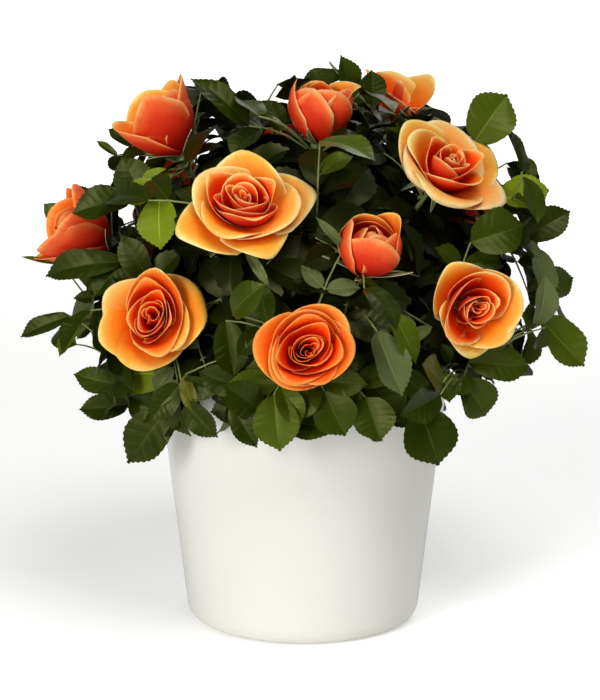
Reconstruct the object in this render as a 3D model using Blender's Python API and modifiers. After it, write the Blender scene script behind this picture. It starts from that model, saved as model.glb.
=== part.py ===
"""A rose bush in its pot: a tapered cover pot filled with compost, a short woody stem, and the
canes that spring from it. Each cane ends where it enters a mass of foliage, which is one solid:
the cane's leafy end with its side shoots, their leaves and their roses.

Run it with: blender --background --python part.py
It is written in metres, +Z up, and the origin is the middle of the pot's underside. Sizes are
given in millimetres and turned into metres by mm().
"""

import math
import random

import bmesh
import bpy
from mathutils import Matrix, Vector
from mathutils.bvhtree import BVHTree


def mm(*sizes):
    """A length, or a point as a Vector, from millimetres to metres."""
    return sizes[0] * 0.001 if len(sizes) == 1 else Vector(sizes) * 0.001


# ---------------------------------------------------------------- driving dimensions

GAP = mm(0.3)  # between one solid and the next
SEED = 7
GOLDEN_ANGLE = math.radians(137.5)
FRONT = Vector((0, -1, 0.2)).normalized()  # where most of the roses look

POT_HEIGHT = mm(130)
POT_RIM_RADIUS = mm(75)
POT_FOOT_RADIUS = mm(59.7)  # where the wall's slope would meet the ground
POT_FOOT_ROUND = mm(9)
POT_WALL = mm(4.5)
POT_FLOOR = mm(6)
POT_STEPS = 36
SOIL_TOP = mm(112)
SOIL_STEPS = 24

STEM_FLARE = mm(12)  # radius at the flat cut on the soil
STEM_WAIST = mm(7)
KNUCKLE = mm(0, 0, 130)  # the swollen top of the stem, where the canes spring from it
KNUCKLE_RADIUS = mm(10)

CANE_FOOT_RADIUS = mm(2.0)
CANE_END_RADIUS = mm(1.6)
SHOOT_END_RADIUS = mm(1.2)
SIDE_SHOOT_RADIUS = mm(1.3)  # where it leaves its cane
CANE_SHARE = 0.46  # the share of the way to its first rose that a cane is bare
FORK_SHARE = 0.52  # where the side shoot leaves
PATH_STEPS = 16

CROWN_CENTRE = mm(0, 0, 185)
CROWN_RADII = mm(137, 129, 98)
CROWN_POWER = 2.3  # 2 is an ellipsoid, and more is squarer

LEAVES = 205  # places for a leaf, spread over the crown
LEAF_DEPTHS = (0.90, 0.76, 0.62)  # shares of the crown's radii, taken in turn
OUTER_DEPTH = 0.955  # of the leaves that give the crown its reach at the rear and the front
OUTER_LEAVES = 7  # in each of their rows
OUTER_HEIGHTS = (-0.30, 0.02, 0.34)  # of these rows, as shares of the crown's height radius
OUTER_SWEEP = math.radians(96)  # that a row spans
LEAF_TRIES = 24  # ways to lie that are tried at each place
NODES_TO_TRY = 90  # for an outline leaflet's stalk
LEAF_SWING = math.radians(220)  # the widest turn of a leaf at its place
LEAF_DROOP = 0.25
LEAF_SPREAD = mm(13)  # least distance between the middles of two leaflets
SIDE_SPREAD = 0.75  # of that, for a side leaflet
LEAFLET_LENGTH = mm(35)
LEAFLET_WIDTH = 0.66  # of its length
LEAFLET_THICKNESS = mm(0.6)
LEAFLET_WAIST = 0.42  # the share of its length at which it is widest
LEAFLET_FOLD = 0.12  # the rise of its edges, as a share of its width
LEAF_ROOM = mm(1)  # kept clear all round a leaflet
LEAF_STALK = mm(4)  # the shortest, from its shoot to the foot of the end leaflet
LEAF_STALK_RADIUS = mm(0.6)
PAIR_PLACE = 0.8  # the share of its stalk at which a leaf's side leaflets stand
END_SUNK = mm(1.6)  # how deep the end leaflet's foot runs into its stalk
PAIR_SUNK = mm(0.3)  # and how far that of a side leaflet runs past the stalk's axis
PETAL_THICKNESS = mm(0.8)
HEAD_SHARE = 0.55  # the share of a rose's height at which its middle lies
ROSE_FOOT_ROOM = mm(7)  # kept clear about its hip, and below it
ROSE_LIP_ROOM = mm(2)  # and outside its lip
ROSE_SUNK = mm(3)  # how far a shoot runs into the foot of its rose

# Each mass: its name, and its shoots. The first shoot carries on its cane, and the next leaves
# it at the fork. A shoot has the middle of its rose, or its tip where it has none, the way that
# this faces, and for a rose the radius of its mouth, its height from hip to lip, and how far it
# is open, from 0, a tight bud, to 1, full blown.
MASSES = (
    ("left_high", (((-72, -10, 260), (-0.50, -0.15, 0.85), 18, 37, 0.30),
                   ((-115, -10, 204), (-0.85, -0.15, 0.50), 17, 34, 0.25))),
    ("left_low", (((-73, -70, 170), (-0.12, -0.93, 0.33), 28, 27, 0.85),
                  ((-94, -30, 134), (-0.85, -0.35, -0.35)))),
    ("centre", (((-28, -75, 227), (-0.05, -0.70, 0.71), 34, 29, 1.00),
                ((8, -56, 212), (0.25, -0.60, 0.75)))),
    ("front", (((2, -105, 161), (0.10, -0.95, 0.28), 26, 26, 0.80),
               ((32, -85, 209), (0.12, -0.50, 0.86), 15, 32, 0.25))),
    ("right_low", (((83, -65, 174), (0.34, -0.92, 0.10), 26, 27, 0.75),
                   ((86, -48, 136), (0.72, -0.55, -0.40)))),
    ("right_high", (((71, -35, 240), (0.42, -0.55, 0.72), 30, 29, 0.90),
                    ((106, -5, 200), (0.90, -0.10, 0.40)),
                    ((50, 10, 234), (0.40, 0.20, 0.90)))),
    ("top", (((8, -20, 268), (0.05, -0.20, 0.98), 16, 33, 0.30),
             ((50, 35, 270), (0.20, 0.10, 0.95), 19, 30, 0.45),
             ((-32, 20, 240), (-0.50, 0.25, 0.85)))),
    ("rear_left", (((-72, 68, 216), (-0.50, 0.62, 0.60), 28, 29, 0.85),
                   ((-78, 60, 140), (-0.70, 0.62, -0.35)))),
    ("rear", (((10, 98, 186), (0.05, 0.92, 0.38), 30, 29, 0.95),
              ((-18, 58, 250), (-0.10, 0.45, 0.88), 15, 32, 0.25))),
    ("rear_right", (((88, 64, 206), (0.62, 0.55, 0.55), 25, 28, 0.70),
                    ((78, 62, 140), (0.68, 0.65, -0.35)))),
)

# The leaflets that give the crown's outline: the foot and the tip of each, and its width.
OUTLINE_LEAFLETS = (
    ((-118, -25, 163), (-143, -20, 150), 12),
    ((-113, -30, 161), (-122, -35, 144), 10),
    ((-101, -20, 172), (-116, -20, 171), 6),
    ((-89, -40, 130), (-115, -35, 136), 12),
    ((-87, -42, 122), (-112, -40, 119), 11),
    ((-60, -60, 123), (-87, -55, 94), 23),
    ((-57, -80, 130), (-41, -88, 115), 13),
    ((-36, -92, 138), (-40, -97, 112), 20),
    ((-16, -98, 138), (-11, -104, 112), 21),
    ((10, -95, 139), (20, -98, 118), 21),
    ((30, -90, 134), (37, -96, 110), 20),
    ((68, -68, 134), (76, -74, 108), 18),
    ((50, -82, 128), (63, -88, 102), 26),
    ((78, -60, 136), (93, -55, 120), 18),
    ((81, -60, 146), (112, -50, 142), 17),
    ((119, -30, 161), (142, -25, 137), 18),
    ((116, -40, 160), (119, -45, 187), 13),
    ((114, -15, 173), (138, -5, 179), 16),
    ((108, -20, 200), (121, -15, 189), 8),
    ((112, -15, 203), (135, -10, 215), 16),
    ((99, -25, 222), (123, -20, 226), 19),
    ((115, 5, 227), (112, 10, 240), 12),
    ((94, -10, 246), (104, 0, 273), 24),
    ((82, -50, 204), (109, -40, 211), 23),
    ((36, 10, 265), (35, 15, 283), 14),
    ((10, 15, 273), (19, 10, 291), 20),
    ((-28, -20, 255), (-56, -15, 284), 19),
    ((-28, -5, 254), (-15, 5, 270), 13),
    ((-77, -30, 221), (-90, -25, 243), 19),
    ((-85, -35, 223), (-114, -35, 216), 17),
    ((-70, -50, 226), (-69, -60, 202), 20),
    ((-89, -35, 192), (-129, -25, 183), 15),
    ((-76, -45, 186), (-89, -45, 207), 15),
    ((-86, 0, 246), (-99, 5, 254), 7),
)


# ---------------------------------------------------------------- helpers

def clear_scene():
    for obj in list(bpy.data.objects):
        bpy.data.objects.remove(obj)


def new_collection(name):
    made = bpy.data.collections.new(name)
    bpy.context.scene.collection.children.link(made)
    return made


def material(name, colour, roughness, metallic=0.0):
    made = bpy.data.materials.new(name)
    made.use_nodes = True
    shader = made.node_tree.nodes["Principled BSDF"]
    shader.inputs["Base Color"].default_value = (*colour, 1)
    shader.inputs["Roughness"].default_value = roughness
    shader.inputs["Metallic"].default_value = metallic
    return made


def object_from(bm, name, collection, finish=None):
    """An object with this bmesh, which is freed, in the collection."""
    bmesh.ops.recalc_face_normals(bm, faces=bm.faces)
    mesh = bpy.data.meshes.new(name)
    bm.to_mesh(mesh)
    bm.free()
    if finish:
        mesh.materials.append(finish)
    obj = bpy.data.objects.new(name, mesh)
    collection.objects.link(obj)
    return obj


def evaluated_mesh(obj):
    bpy.context.view_layer.update()
    graph = bpy.context.evaluated_depsgraph_get()
    return bpy.data.meshes.new_from_object(obj.evaluated_get(graph))


def turned(name, profile, steps, collection, finish):
    """A turned solid. The profile is (radius, height) points, which run down its outer side."""
    points = [(radius, 0, height) for radius, height in profile]
    edges = [(i, i + 1) for i in range(len(points) - 1)]
    mesh = bpy.data.meshes.new(name)
    mesh.from_pydata(points, edges, [])
    mesh.materials.append(finish)
    obj = bpy.data.objects.new(name, mesh)
    collection.objects.link(obj)
    screw = obj.modifiers.new("turn", "SCREW")
    screw.steps = screw.render_steps = steps
    screw.use_merge_vertices = True
    screw.merge_threshold = mm(0.01)
    obj.data = evaluated_mesh(obj)
    obj.modifiers.clear()
    obj.data.shade_smooth()
    obj.data.set_sharp_from_angle(angle=math.radians(40))
    return obj


def tube(points, first_radius, last_radius):
    """A tapering six-sided limb through these points, as a closed bmesh."""
    curve = bpy.data.curves.new("limb", "CURVE")
    curve.dimensions = "3D"
    curve.bevel_depth = 1.0
    curve.bevel_resolution = 1
    curve.use_fill_caps = True
    spline = curve.splines.new("POLY")
    spline.points.add(len(points) - 1)
    for i, point in enumerate(points):
        spline.points[i].co = (*point, 1)
        spline.points[i].radius = mix(first_radius, last_radius, i / (len(points) - 1))
    guide = bpy.data.objects.new("limb", curve)
    bpy.context.scene.collection.objects.link(guide)
    bm = bmesh.new()
    bm.from_mesh(evaluated_mesh(guide))
    bmesh.ops.remove_doubles(bm, verts=bm.verts, dist=mm(0.001))
    bpy.data.objects.remove(guide)
    return bm


def frame_of(along, face):
    """A rotation whose X runs along, and whose Z is as near to face as it can be."""
    x = along.normalized()
    y = face.cross(x).normalized()
    return Matrix((x, y, x.cross(y))).transposed()


def mix(a, b, share):
    return a + (b - a) * share


# ---------------------------------------------------------------- pot, soil and stem

def pot_radius(height):
    """The pot's outer radius at a height."""
    return mix(POT_FOOT_RADIUS, POT_RIM_RADIUS, height / POT_HEIGHT)


def make_pot(collection):
    finish = material("glazed_white", (0.86, 0.86, 0.83), 0.18)
    lip = POT_WALL / 2
    inner_foot = pot_radius(POT_FLOOR) - POT_WALL
    profile = [(0, POT_FLOOR), (inner_foot - mm(4), POT_FLOOR), (inner_foot, POT_FLOOR + mm(4))]
    for step in range(5):  # over the rounded rim, from inside to outside
        turn = math.pi * (1 - step / 4)
        radius = POT_RIM_RADIUS - lip + lip * math.cos(turn)
        profile.append((radius, POT_HEIGHT - lip + lip * math.sin(turn)))
    for step in range(4):  # round the foot
        turn = math.pi / 2 * step / 3
        radius = pot_radius(POT_FOOT_ROUND) - POT_FOOT_ROUND * (1 - math.cos(turn))
        profile.append((radius, POT_FOOT_ROUND * (1 - math.sin(turn))))
    profile.append((0, 0))
    return turned("pot", profile, POT_STEPS, collection, finish)


def make_soil(collection):
    finish = material("compost", (0.045, 0.03, 0.02), 0.95)
    floor = POT_FLOOR + GAP
    clearance = POT_WALL + mm(0.7)
    profile = (
        (0, SOIL_TOP),
        (pot_radius(SOIL_TOP) - clearance, SOIL_TOP),
        (pot_radius(floor + mm(4)) - clearance, floor + mm(4)),
        (pot_radius(floor) - clearance - mm(4), floor),
        (0, floor),
    )
    return turned("soil", profile, SOIL_STEPS, collection, finish)


def make_main_stem(collection, finish):
    """The short woody stem, from its flat cut on the soil to the swollen knuckle at its top."""
    foot = SOIL_TOP + GAP
    profile = [(0, KNUCKLE.z + KNUCKLE_RADIUS)]
    for step in range(1, 5):  # the knuckle's dome
        turn = math.radians(28) * step
        radius = KNUCKLE_RADIUS * math.sin(turn)
        profile.append((radius, KNUCKLE.z + KNUCKLE_RADIUS * math.cos(turn)))
    profile.append((STEM_WAIST, foot + mm(7)))
    profile.append((mix(STEM_WAIST, STEM_FLARE, 0.35), foot + mm(3)))
    profile.append((STEM_FLARE, foot))
    profile.append((0, foot))
    return turned("main_stem", profile, 12, collection, finish)


# ---------------------------------------------------------------- shoots and their space

class Shoot:
    """A shoot's path and its rose, if it has one. A side shoot starts on another at its fork."""

    def __init__(self, head, facing, mouth=0.0, height=0.0, openness=0.0, parent=None):
        self.head = mm(*head)
        self.facing = Vector(facing).normalized()
        self.mouth = mm(mouth)
        self.height = mm(height)
        self.openness = openness
        self.end = self.head - self.facing * self.height * HEAD_SHARE
        if parent:
            start, start_way = parent.at(FORK_SHARE)
            start_way = (start_way + (self.end - start).normalized()).normalized()
            self.leafy_from = 0.25
        else:
            start_way = ((self.end - KNUCKLE).normalized() + Vector((0, 0, 0.1))).normalized()
            start = KNUCKLE + start_way * (KNUCKLE_RADIUS + GAP)
            self.leafy_from = CANE_SHARE + 0.06
        self.path = self.curve_to_end(start, start_way)

    def curve_to_end(self, start, start_way):
        """Points along a curve that ends half turned to the way that the rose faces."""
        reach = (self.end - start).length
        end_way = (self.facing + (self.end - start).normalized()).normalized()
        b = start + start_way * reach * 0.40
        c = self.end - end_way * reach * 0.30
        points = []
        for step in range(PATH_STEPS + 1):
            t = step / PATH_STEPS
            point = start * (1 - t) ** 3 + b * 3 * t * (1 - t) ** 2
            points.append(point + c * 3 * t * t * (1 - t) + self.end * t**3)
        return points

    def at(self, share):
        """The point, and the way that the shoot runs, at a share of its path."""
        place = min(max(share, 0.0), 0.9999) * (len(self.path) - 1)
        i = int(place)
        way = self.path[i + 1] - self.path[i]
        return self.path[i] + way * (place - i), way.normalized()

    def rose_holds(self, point):
        """True if a point is in the cup that the rose fills, or just outside it."""
        offset = point - self.end
        along = offset.dot(self.facing)
        if not self.mouth or not -ROSE_FOOT_ROOM < along < self.height + ROSE_LIP_ROOM:
            return False
        flare = min(max(along, 0) / (self.height * HEAD_SHARE), 1)
        reach = mix(ROSE_FOOT_ROOM, self.mouth + ROSE_LIP_ROOM, flare)
        return (offset - self.facing * along).length < reach

    def neck(self):
        """The end of the shoot inside the foot of its rose."""
        return [self.end + self.facing * ROSE_SUNK] if self.mouth else []

    def stretch(self, first, last, count):
        """This many points between two shares of the path."""
        return [self.at(mix(first, last, i / (count - 1)))[0] for i in range(count)]


class Mass:
    """A mass of foliage: its shoots, and the space that it keeps."""

    def __init__(self, name, rows):
        self.name = name
        self.shoots = [Shoot(*rows[0])]
        for row in rows[1:]:
            self.shoots.append(Shoot(*row, parent=self.shoots[0]))
        self.core = []  # (point, radius) pairs: its space is what is nearer to these
        self.nodes = []  # the places on the shoots where a leaf can start
        self.pieces = []
        for shoot in self.shoots:
            self.core += [(point, 0.0) for point in shoot.stretch(CANE_SHARE, 1, 9)]
            if shoot.mouth:
                self.core.append((shoot.head, shoot.mouth * 0.8))
            self.nodes += shoot.stretch(shoot.leafy_from, 0.92, 22)

    def distance(self, point):
        return min((point - spot).length - radius for spot, radius in self.core)

    def nearest_node(self, point):
        return min(self.nodes, key=lambda node: (node - point).length)


class Crown:
    """All the masses, and every solid so far, so that a new leaf can be kept clear of them."""

    def __init__(self, masses):
        self.masses = masses
        self.trees = []
        self.middles = []  # of the leaflets

    def block(self, bm):
        self.trees.append(BVHTree.FromBMesh(bm))

    def add(self, mass, *pieces):
        for bm in pieces:
            mass.pieces.append(bm)
            self.block(bm)

    def is_free_for(self, bm):
        tree = BVHTree.FromBMesh(bm)
        bm.free()
        return not any(tree.overlap(other) for other in self.trees)

    def owner(self, point):
        return min(self.masses, key=lambda mass: mass.distance(point))

    def is_spread(self, blade, spread):
        return all((blade.middle - other).length > spread for other in self.middles)

    def holds_rose_at(self, point):
        return any(shoot.rose_holds(point) for mass in self.masses for shoot in mass.shoots)

    def hides_a_rose(self, point):
        """True if the point is before the face of a rose, or between a rose and the front."""
        for mass in self.masses:
            for shoot in mass.shoots:
                offset = point - shoot.head
                ways = (shoot.facing, FRONT) if shoot.head.y < 0 else (shoot.facing,)
                for way in ways:
                    along = offset.dot(way)
                    if along > 0 and (offset - way * along).length < shoot.mouth:
                        return True
        return False

    def takes(self, blade, spread):
        """True if a leaflet grown by the rule may stand here: this far from the next, within the
        crown's rounded outline, not before a rose, and clear of every solid."""
        return (
            self.is_spread(blade, spread)
            and max(crown_share(spot) for spot in blade.outline()) < 1
            and not self.hides_a_rose(blade.middle)
            and self.has_room_for(blade)
        )

    def has_room_for(self, blade):
        if any(self.holds_rose_at(spot) for spot in blade.outline()):
            return False
        return self.is_free_for(blade.solid(0, LEAF_ROOM))

    def has_room_for_stalk(self, start, foot):
        """True if the stalk is clear of every solid, but for the shoot that it leaves."""
        clear = start + (foot - start).normalized() * LEAF_STALK
        if any(self.holds_rose_at(clear.lerp(foot, share)) for share in (0, 0.5, 1)):
            return False
        return self.is_free_for(twig(clear, foot, LEAF_STALK_RADIUS + LEAF_ROOM / 2))


def crown_share(point):
    """0 at the crown's centre, and 1 on its rounded outline."""
    offset = point - CROWN_CENTRE
    shares = [abs(offset[i]) / CROWN_RADII[i] for i in range(3)]
    return sum(share**CROWN_POWER for share in shares) ** (1 / CROWN_POWER)


# ---------------------------------------------------------------- leaves

class Leaflet:
    """A leaflet's place: its foot and tip, the way its upper side looks, and its width."""

    def __init__(self, foot, tip, face, width):
        self.foot = foot
        self.tip = tip
        self.face = face
        self.width = width
        self.middle = foot.lerp(tip, LEAFLET_WAIST)

    def outline(self):
        """Spots on its edge and midrib, to test where it would stand."""
        across = frame_of(self.tip - self.foot, self.face) @ Vector((0, self.width / 2, 0))
        corners = (self.foot, self.middle + across, self.tip, self.middle - across)
        edges = [corners[i].lerp(corners[(i + 1) % 4], 0.5) for i in range(4)]
        return [*corners[1:], *edges, self.middle]

    def solid(self, sunk, room=0.0):
        """A folded blade of eight faces, a flattened octahedron with its foot sunk in its stalk,
        and thicker all over where it must show the room that it needs."""
        along = self.tip - self.foot
        length = along.length
        bm = bmesh.new()
        bmesh.ops.create_uvsphere(bm, u_segments=4, v_segments=2, radius=1)
        for vert in bm.verts:
            x, y, z = vert.co
            station = 0.5 + x / 2 if abs(x) > 0.5 else LEAFLET_WAIST
            side = y * (self.width / 2 + room)
            rise = z * (LEAFLET_THICKNESS / 2 + room) + abs(y) * self.width * LEAFLET_FOLD
            vert.co = (station * length, side, rise)
        root = self.foot - along.normalized() * sunk
        bm.transform(Matrix.Translation(root) @ frame_of(along, self.face).to_4x4())
        return bm


def twig(start, end, radius):
    """A three-sided twig between two points."""
    along = end - start
    bm = bmesh.new()
    bmesh.ops.create_cone(
        bm,
        cap_ends=True,
        segments=3,
        radius1=radius * 1.15,
        radius2=radius,
        depth=along.length,
    )
    turn = along.to_track_quat("Z", "Y").to_matrix().to_4x4()
    bm.transform(Matrix.Translation(start.lerp(end, 0.5)) @ turn)
    return bm


def leaf_face(point, forwards=0.0):
    """The way that a leaf's upper side looks: outwards and up, and forwards where asked."""
    out = (point - CROWN_CENTRE).normalized()
    return (out * 0.8 + Vector((0, -forwards, 0.7))).normalized()


def add_leaf(crown, mass, node, blade, side_size):
    """A leaf on its stalk, from its node on the shoot: this blade, and a pair behind it, each
    where it fits."""
    heading = (blade.foot - node).normalized()
    pair_foot = node.lerp(blade.foot, PAIR_PLACE)
    across = heading.cross(blade.face).normalized()
    crown.add(mass, blade.solid(END_SUNK))
    crown.middles.append(blade.middle)
    mass.nodes.remove(node)
    pair = []
    for side in (-1, 1):
        way = (heading * 0.55 + across * side + Vector((0, 0, -0.12))).normalized()
        length = LEAFLET_LENGTH * side_size
        other = Leaflet(pair_foot, pair_foot + way * length, blade.face, length * LEAFLET_WIDTH)
        if crown.takes(other, LEAF_SPREAD * SIDE_SPREAD):
            pair.append(other.solid(PAIR_SUNK))
            crown.middles.append(other.middle)
    crown.add(mass, twig(node, blade.foot, LEAF_STALK_RADIUS), *pair)


def grow_outline_leaf(crown, foot, tip, width):
    """The leaflet at its given place, on a stalk from the nearest node that has a clear way."""
    blade = Leaflet(foot, tip, leaf_face(foot, 1.1), width)
    if not crown.has_room_for(blade):
        return
    nodes = [(mass, node) for mass in crown.masses for node in mass.nodes]
    nodes.sort(key=lambda pair: (pair[1] - foot).length)
    for mass, node in nodes[:NODES_TO_TRY]:
        if crown.has_room_for_stalk(node, foot):
            add_leaf(crown, mass, node, blade, 0.8)
            return


def leaf_places():
    """Even places over the crown on a golden spiral, at a few depths in turn."""
    for i in range(LEAVES):
        height = 1 - 2 * (i + 0.5) / LEAVES
        reach = math.sqrt(1 - height * height)
        turn = i * GOLDEN_ANGLE
        way = Vector((reach * math.cos(turn), reach * math.sin(turn), height))
        way = Vector([way[axis] * CROWN_RADII[axis] for axis in range(3)])
        depth = LEAF_DEPTHS[i % len(LEAF_DEPTHS)]
        yield CROWN_CENTRE + way * (depth / crown_share(CROWN_CENTRE + way))


def outer_places():
    """Places in rows round the crown's rear, and then its front, just inside its outline."""
    for side in (1, -1):
        for height in OUTER_HEIGHTS:
            for k in range(OUTER_LEAVES):
                turn = side * math.pi / 2 + OUTER_SWEEP * (k / (OUTER_LEAVES - 1) - 0.5)
                way = Vector((math.cos(turn), math.sin(turn), height))
                way = Vector([way[axis] * CROWN_RADII[axis] for axis in range(3)])
                yield CROWN_CENTRE + way * (OUTER_DEPTH / crown_share(CROWN_CENTRE + way))


def grow_leaf(crown, place, chance):
    """One leaf of up to three leaflets, with the middle of its end leaflet near this place. The
    blades lie along the crown's outside, and droop. It tries a few ways to lie until one fits."""
    for attempt in range(LEAF_TRIES):
        shift = Vector([chance.uniform(-1, 1) for axis in range(3)])
        middle = place + shift * mm(min(attempt, 14))
        mass = crown.owner(middle)
        node = mass.nearest_node(middle)
        out = (middle - CROWN_CENTRE).normalized()
        heading = (middle - node).normalized()
        along = heading - out * heading.dot(out) * 0.7 + Vector((0, 0, -LEAF_DROOP))
        swing = (attempt * 0.618 + 0.5) % 1 - 0.5
        along.rotate(Matrix.Rotation(swing * LEAF_SWING, 3, out))
        along.normalize()
        length = LEAFLET_LENGTH * chance.uniform(0.85, 1.08)
        foot = middle - along * length * LEAFLET_WAIST
        blade = Leaflet(foot, foot + along * length, leaf_face(middle), length * LEAFLET_WIDTH)
        if (foot - node).length < LEAF_STALK * 1.2 or not crown.takes(blade, LEAF_SPREAD):
            continue
        if crown.has_room_for_stalk(node, foot):
            add_leaf(crown, mass, node, blade, 0.85)
            return


# ---------------------------------------------------------------- roses

def petal_spot(shoot, rank, share, offset):
    """(radius, height) on a petal's middle line at a share of its length, and offset from it
    towards the rose's axis. Rank is 0 for the innermost petal and 1 for the outermost. The line
    leans out from the axis by an angle that changes from its foot to its lip."""
    opening = shoot.openness * rank
    leans = (
        mix(30, 58, rank) + 10 * opening,
        mix(2, 6, rank) + 42 * opening,
        mix(-30, -10, rank) + 100 * opening,
    )
    length = shoot.height * (1 + 0.32 * opening)
    radius, height, lean = mm(1.5) + mm(1.5) * rank, 0.0, 0.0
    steps = 8
    for step in range(steps):
        v = share * (step + 0.5) / steps
        lean = math.radians((1 - v) ** 2 * leans[0] + 2 * v * (1 - v) * leans[1] + v * v * leans[2])
        radius += length * share / steps * math.sin(lean)
        height += length * share / steps * math.cos(lean)
    return radius - offset * math.cos(lean), height + offset * math.sin(lean)


def cup(shoot, rank, petals, rows, phase):
    """A ring of petals as one closed cup: the lower half of a sphere's net is its outside, from
    its foot to the lip, and the upper half is its inside. The lip dips between two petals."""
    foot, floor = (0.0, 0.30) if rank == 1 else (0.15, 0.40)
    widest = max(petal_spot(shoot, 1, v / 8, 0)[0] for v in range(9))
    bm = bmesh.new()
    bmesh.ops.create_uvsphere(bm, u_segments=petals * 2, v_segments=rows * 2, radius=1)
    for vert in bm.verts:
        row = round((math.asin(max(-1, min(1, vert.co.z))) / math.pi + 0.5) * rows * 2)
        inside = row > rows
        v = mix(floor, 1, (2 * rows - row) / rows) if inside else mix(foot, 1, row / rows)
        angle = math.atan2(vert.co.y, vert.co.x)
        between = abs(math.sin(angle * petals / 2)) * v
        offset = PETAL_THICKNESS if inside else 0.0
        radius, height = petal_spot(shoot, rank, v * (1 - 0.2 * between), offset)
        radius *= shoot.mouth / widest * (1 - 0.1 * between)
        if row in (0, rows * 2):
            radius = 0
        angle += phase
        vert.co = (radius * math.cos(angle), radius * math.sin(angle), height)
    bm.transform(rose_frame(shoot))
    return bm


def rose_frame(shoot):
    """From the rose's own frame, with its hip at the origin and its axis on Z, to the plant's."""
    turn = shoot.facing.to_track_quat("Z", "Y").to_matrix().to_4x4()
    return Matrix.Translation(shoot.end) @ turn


def spindle(shoot, low, high, radius, sides, rings):
    """A closed spindle on the rose's axis, for the furled petals at its heart."""
    bm = bmesh.new()
    bmesh.ops.create_uvsphere(bm, u_segments=sides, v_segments=rings, radius=1)
    for vert in bm.verts:
        x, y, z = vert.co
        vert.co = (x * radius, y * radius, mix(low, high, (z + 1) / 2))
    bm.transform(rose_frame(shoot))
    return bm


def rose(shoot):
    """A rose's pieces: one or two rings of petals, and its furled heart."""
    blown = shoot.openness > 0.5
    pieces = [cup(shoot, 1, 5, 4 if blown else 3, 0.0)]
    if blown:
        pieces.append(cup(shoot, 0.5, 3, 3, 0.6))
    pieces.append(spindle(shoot, shoot.height * 0.2, shoot.height * 0.86, shoot.mouth * 0.3, 5, 3))
    return pieces


# ---------------------------------------------------------------- masses

def keep_largest_shell(mesh):
    """Drops loose scraps and sealed hollows: only the shell with the most faces stays."""
    bm = bmesh.new()
    bm.from_mesh(mesh)
    left = set(bm.faces)
    shells = []
    while left:
        shell = []
        edge_of_search = [left.pop()]
        while edge_of_search:
            face = edge_of_search.pop()
            shell.append(face)
            near = {other for edge in face.edges for other in edge.link_faces} & left
            left -= near
            edge_of_search.extend(near)
        shells.append(shell)
    shells.sort(key=len)
    for shell in shells[:-1]:
        bmesh.ops.delete(bm, geom=shell, context="FACES")
    bm.to_mesh(mesh)
    bm.free()


def fused(name, trunk, pieces, collection, finish):
    """The shoot with all its pieces as one solid, by one Boolean union on a collection."""
    loose = new_collection(name + "_pieces")
    for i, bm in enumerate(pieces):
        object_from(bm, f"{name}_piece_{i}", loose)
    obj = object_from(trunk, name, collection)
    union = obj.modifiers.new("join", "BOOLEAN")
    union.operation = "UNION"
    union.operand_type = "COLLECTION"
    union.collection = loose
    union.solver = "EXACT"
    mesh = evaluated_mesh(obj)
    obj.modifiers.clear()
    keep_largest_shell(mesh)
    obj.data = mesh
    obj.data.materials.clear()
    obj.data.materials.append(finish)
    for piece in list(loose.objects):
        bpy.data.objects.remove(piece)
    bpy.data.collections.remove(loose)
    return obj


def make_cane(mass, crown, collection, finish):
    points = mass.shoots[0].stretch(0, CANE_SHARE, 4)
    bm = tube(points, CANE_FOOT_RADIUS, CANE_END_RADIUS)
    crown.block(bm)
    return object_from(bm, "cane_" + mass.name, collection, finish)


def grow_shoots(mass, crown):
    """The leafy end of a cane, its side shoots, and their roses."""
    main = mass.shoots[0]
    first = CANE_SHARE + GAP / (main.end - KNUCKLE).length
    crown.add(mass, tube(main.stretch(first, 1, 5) + main.neck(), CANE_END_RADIUS, SHOOT_END_RADIUS))
    for side in mass.shoots[1:]:
        crown.add(mass, tube(side.stretch(0, 1, 4) + side.neck(), SIDE_SHOOT_RADIUS, SHOOT_END_RADIUS))
    for shoot in mass.shoots:
        if shoot.mouth:
            crown.add(mass, *rose(shoot))


def main():
    clear_scene()
    collection = new_collection("potted_rose_bush")
    bark = material("green_bark", (0.10, 0.15, 0.05), 0.6)
    foliage = material("foliage", (0.05, 0.12, 0.03), 0.45)
    crown = Crown([Mass(name, rows) for name, rows in MASSES])
    for obj in (make_pot(collection), make_soil(collection), make_main_stem(collection, bark)):
        bm = bmesh.new()
        bm.from_mesh(obj.data)
        crown.block(bm)
    for mass in crown.masses:
        make_cane(mass, crown, collection, bark)
        grow_shoots(mass, crown)
    for foot, tip, width in OUTLINE_LEAFLETS:
        grow_outline_leaf(crown, mm(*foot), mm(*tip), mm(width))
    chance = random.Random(SEED)
    for place in [*leaf_places(), *outer_places()]:
        grow_leaf(crown, place, chance)
    for mass in crown.masses:
        fused("foliage_" + mass.name, mass.pieces[0], mass.pieces[1:], collection, foliage)


main()
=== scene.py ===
"""The looks of the potted rose bush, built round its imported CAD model.

The foliage masses, the canes and the stem are grown again by the rule of the CAD source, from the
same named shoots, and carried finer: toothed leaflets with veins, thin stalks, roses petal by
petal, and canes with thorns. Lengths are in metres, and mm() turns millimetres into them.
"""

import math
import random
from collections import namedtuple

import bpy
import numpy as np
from mathutils import Matrix, Vector


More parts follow.
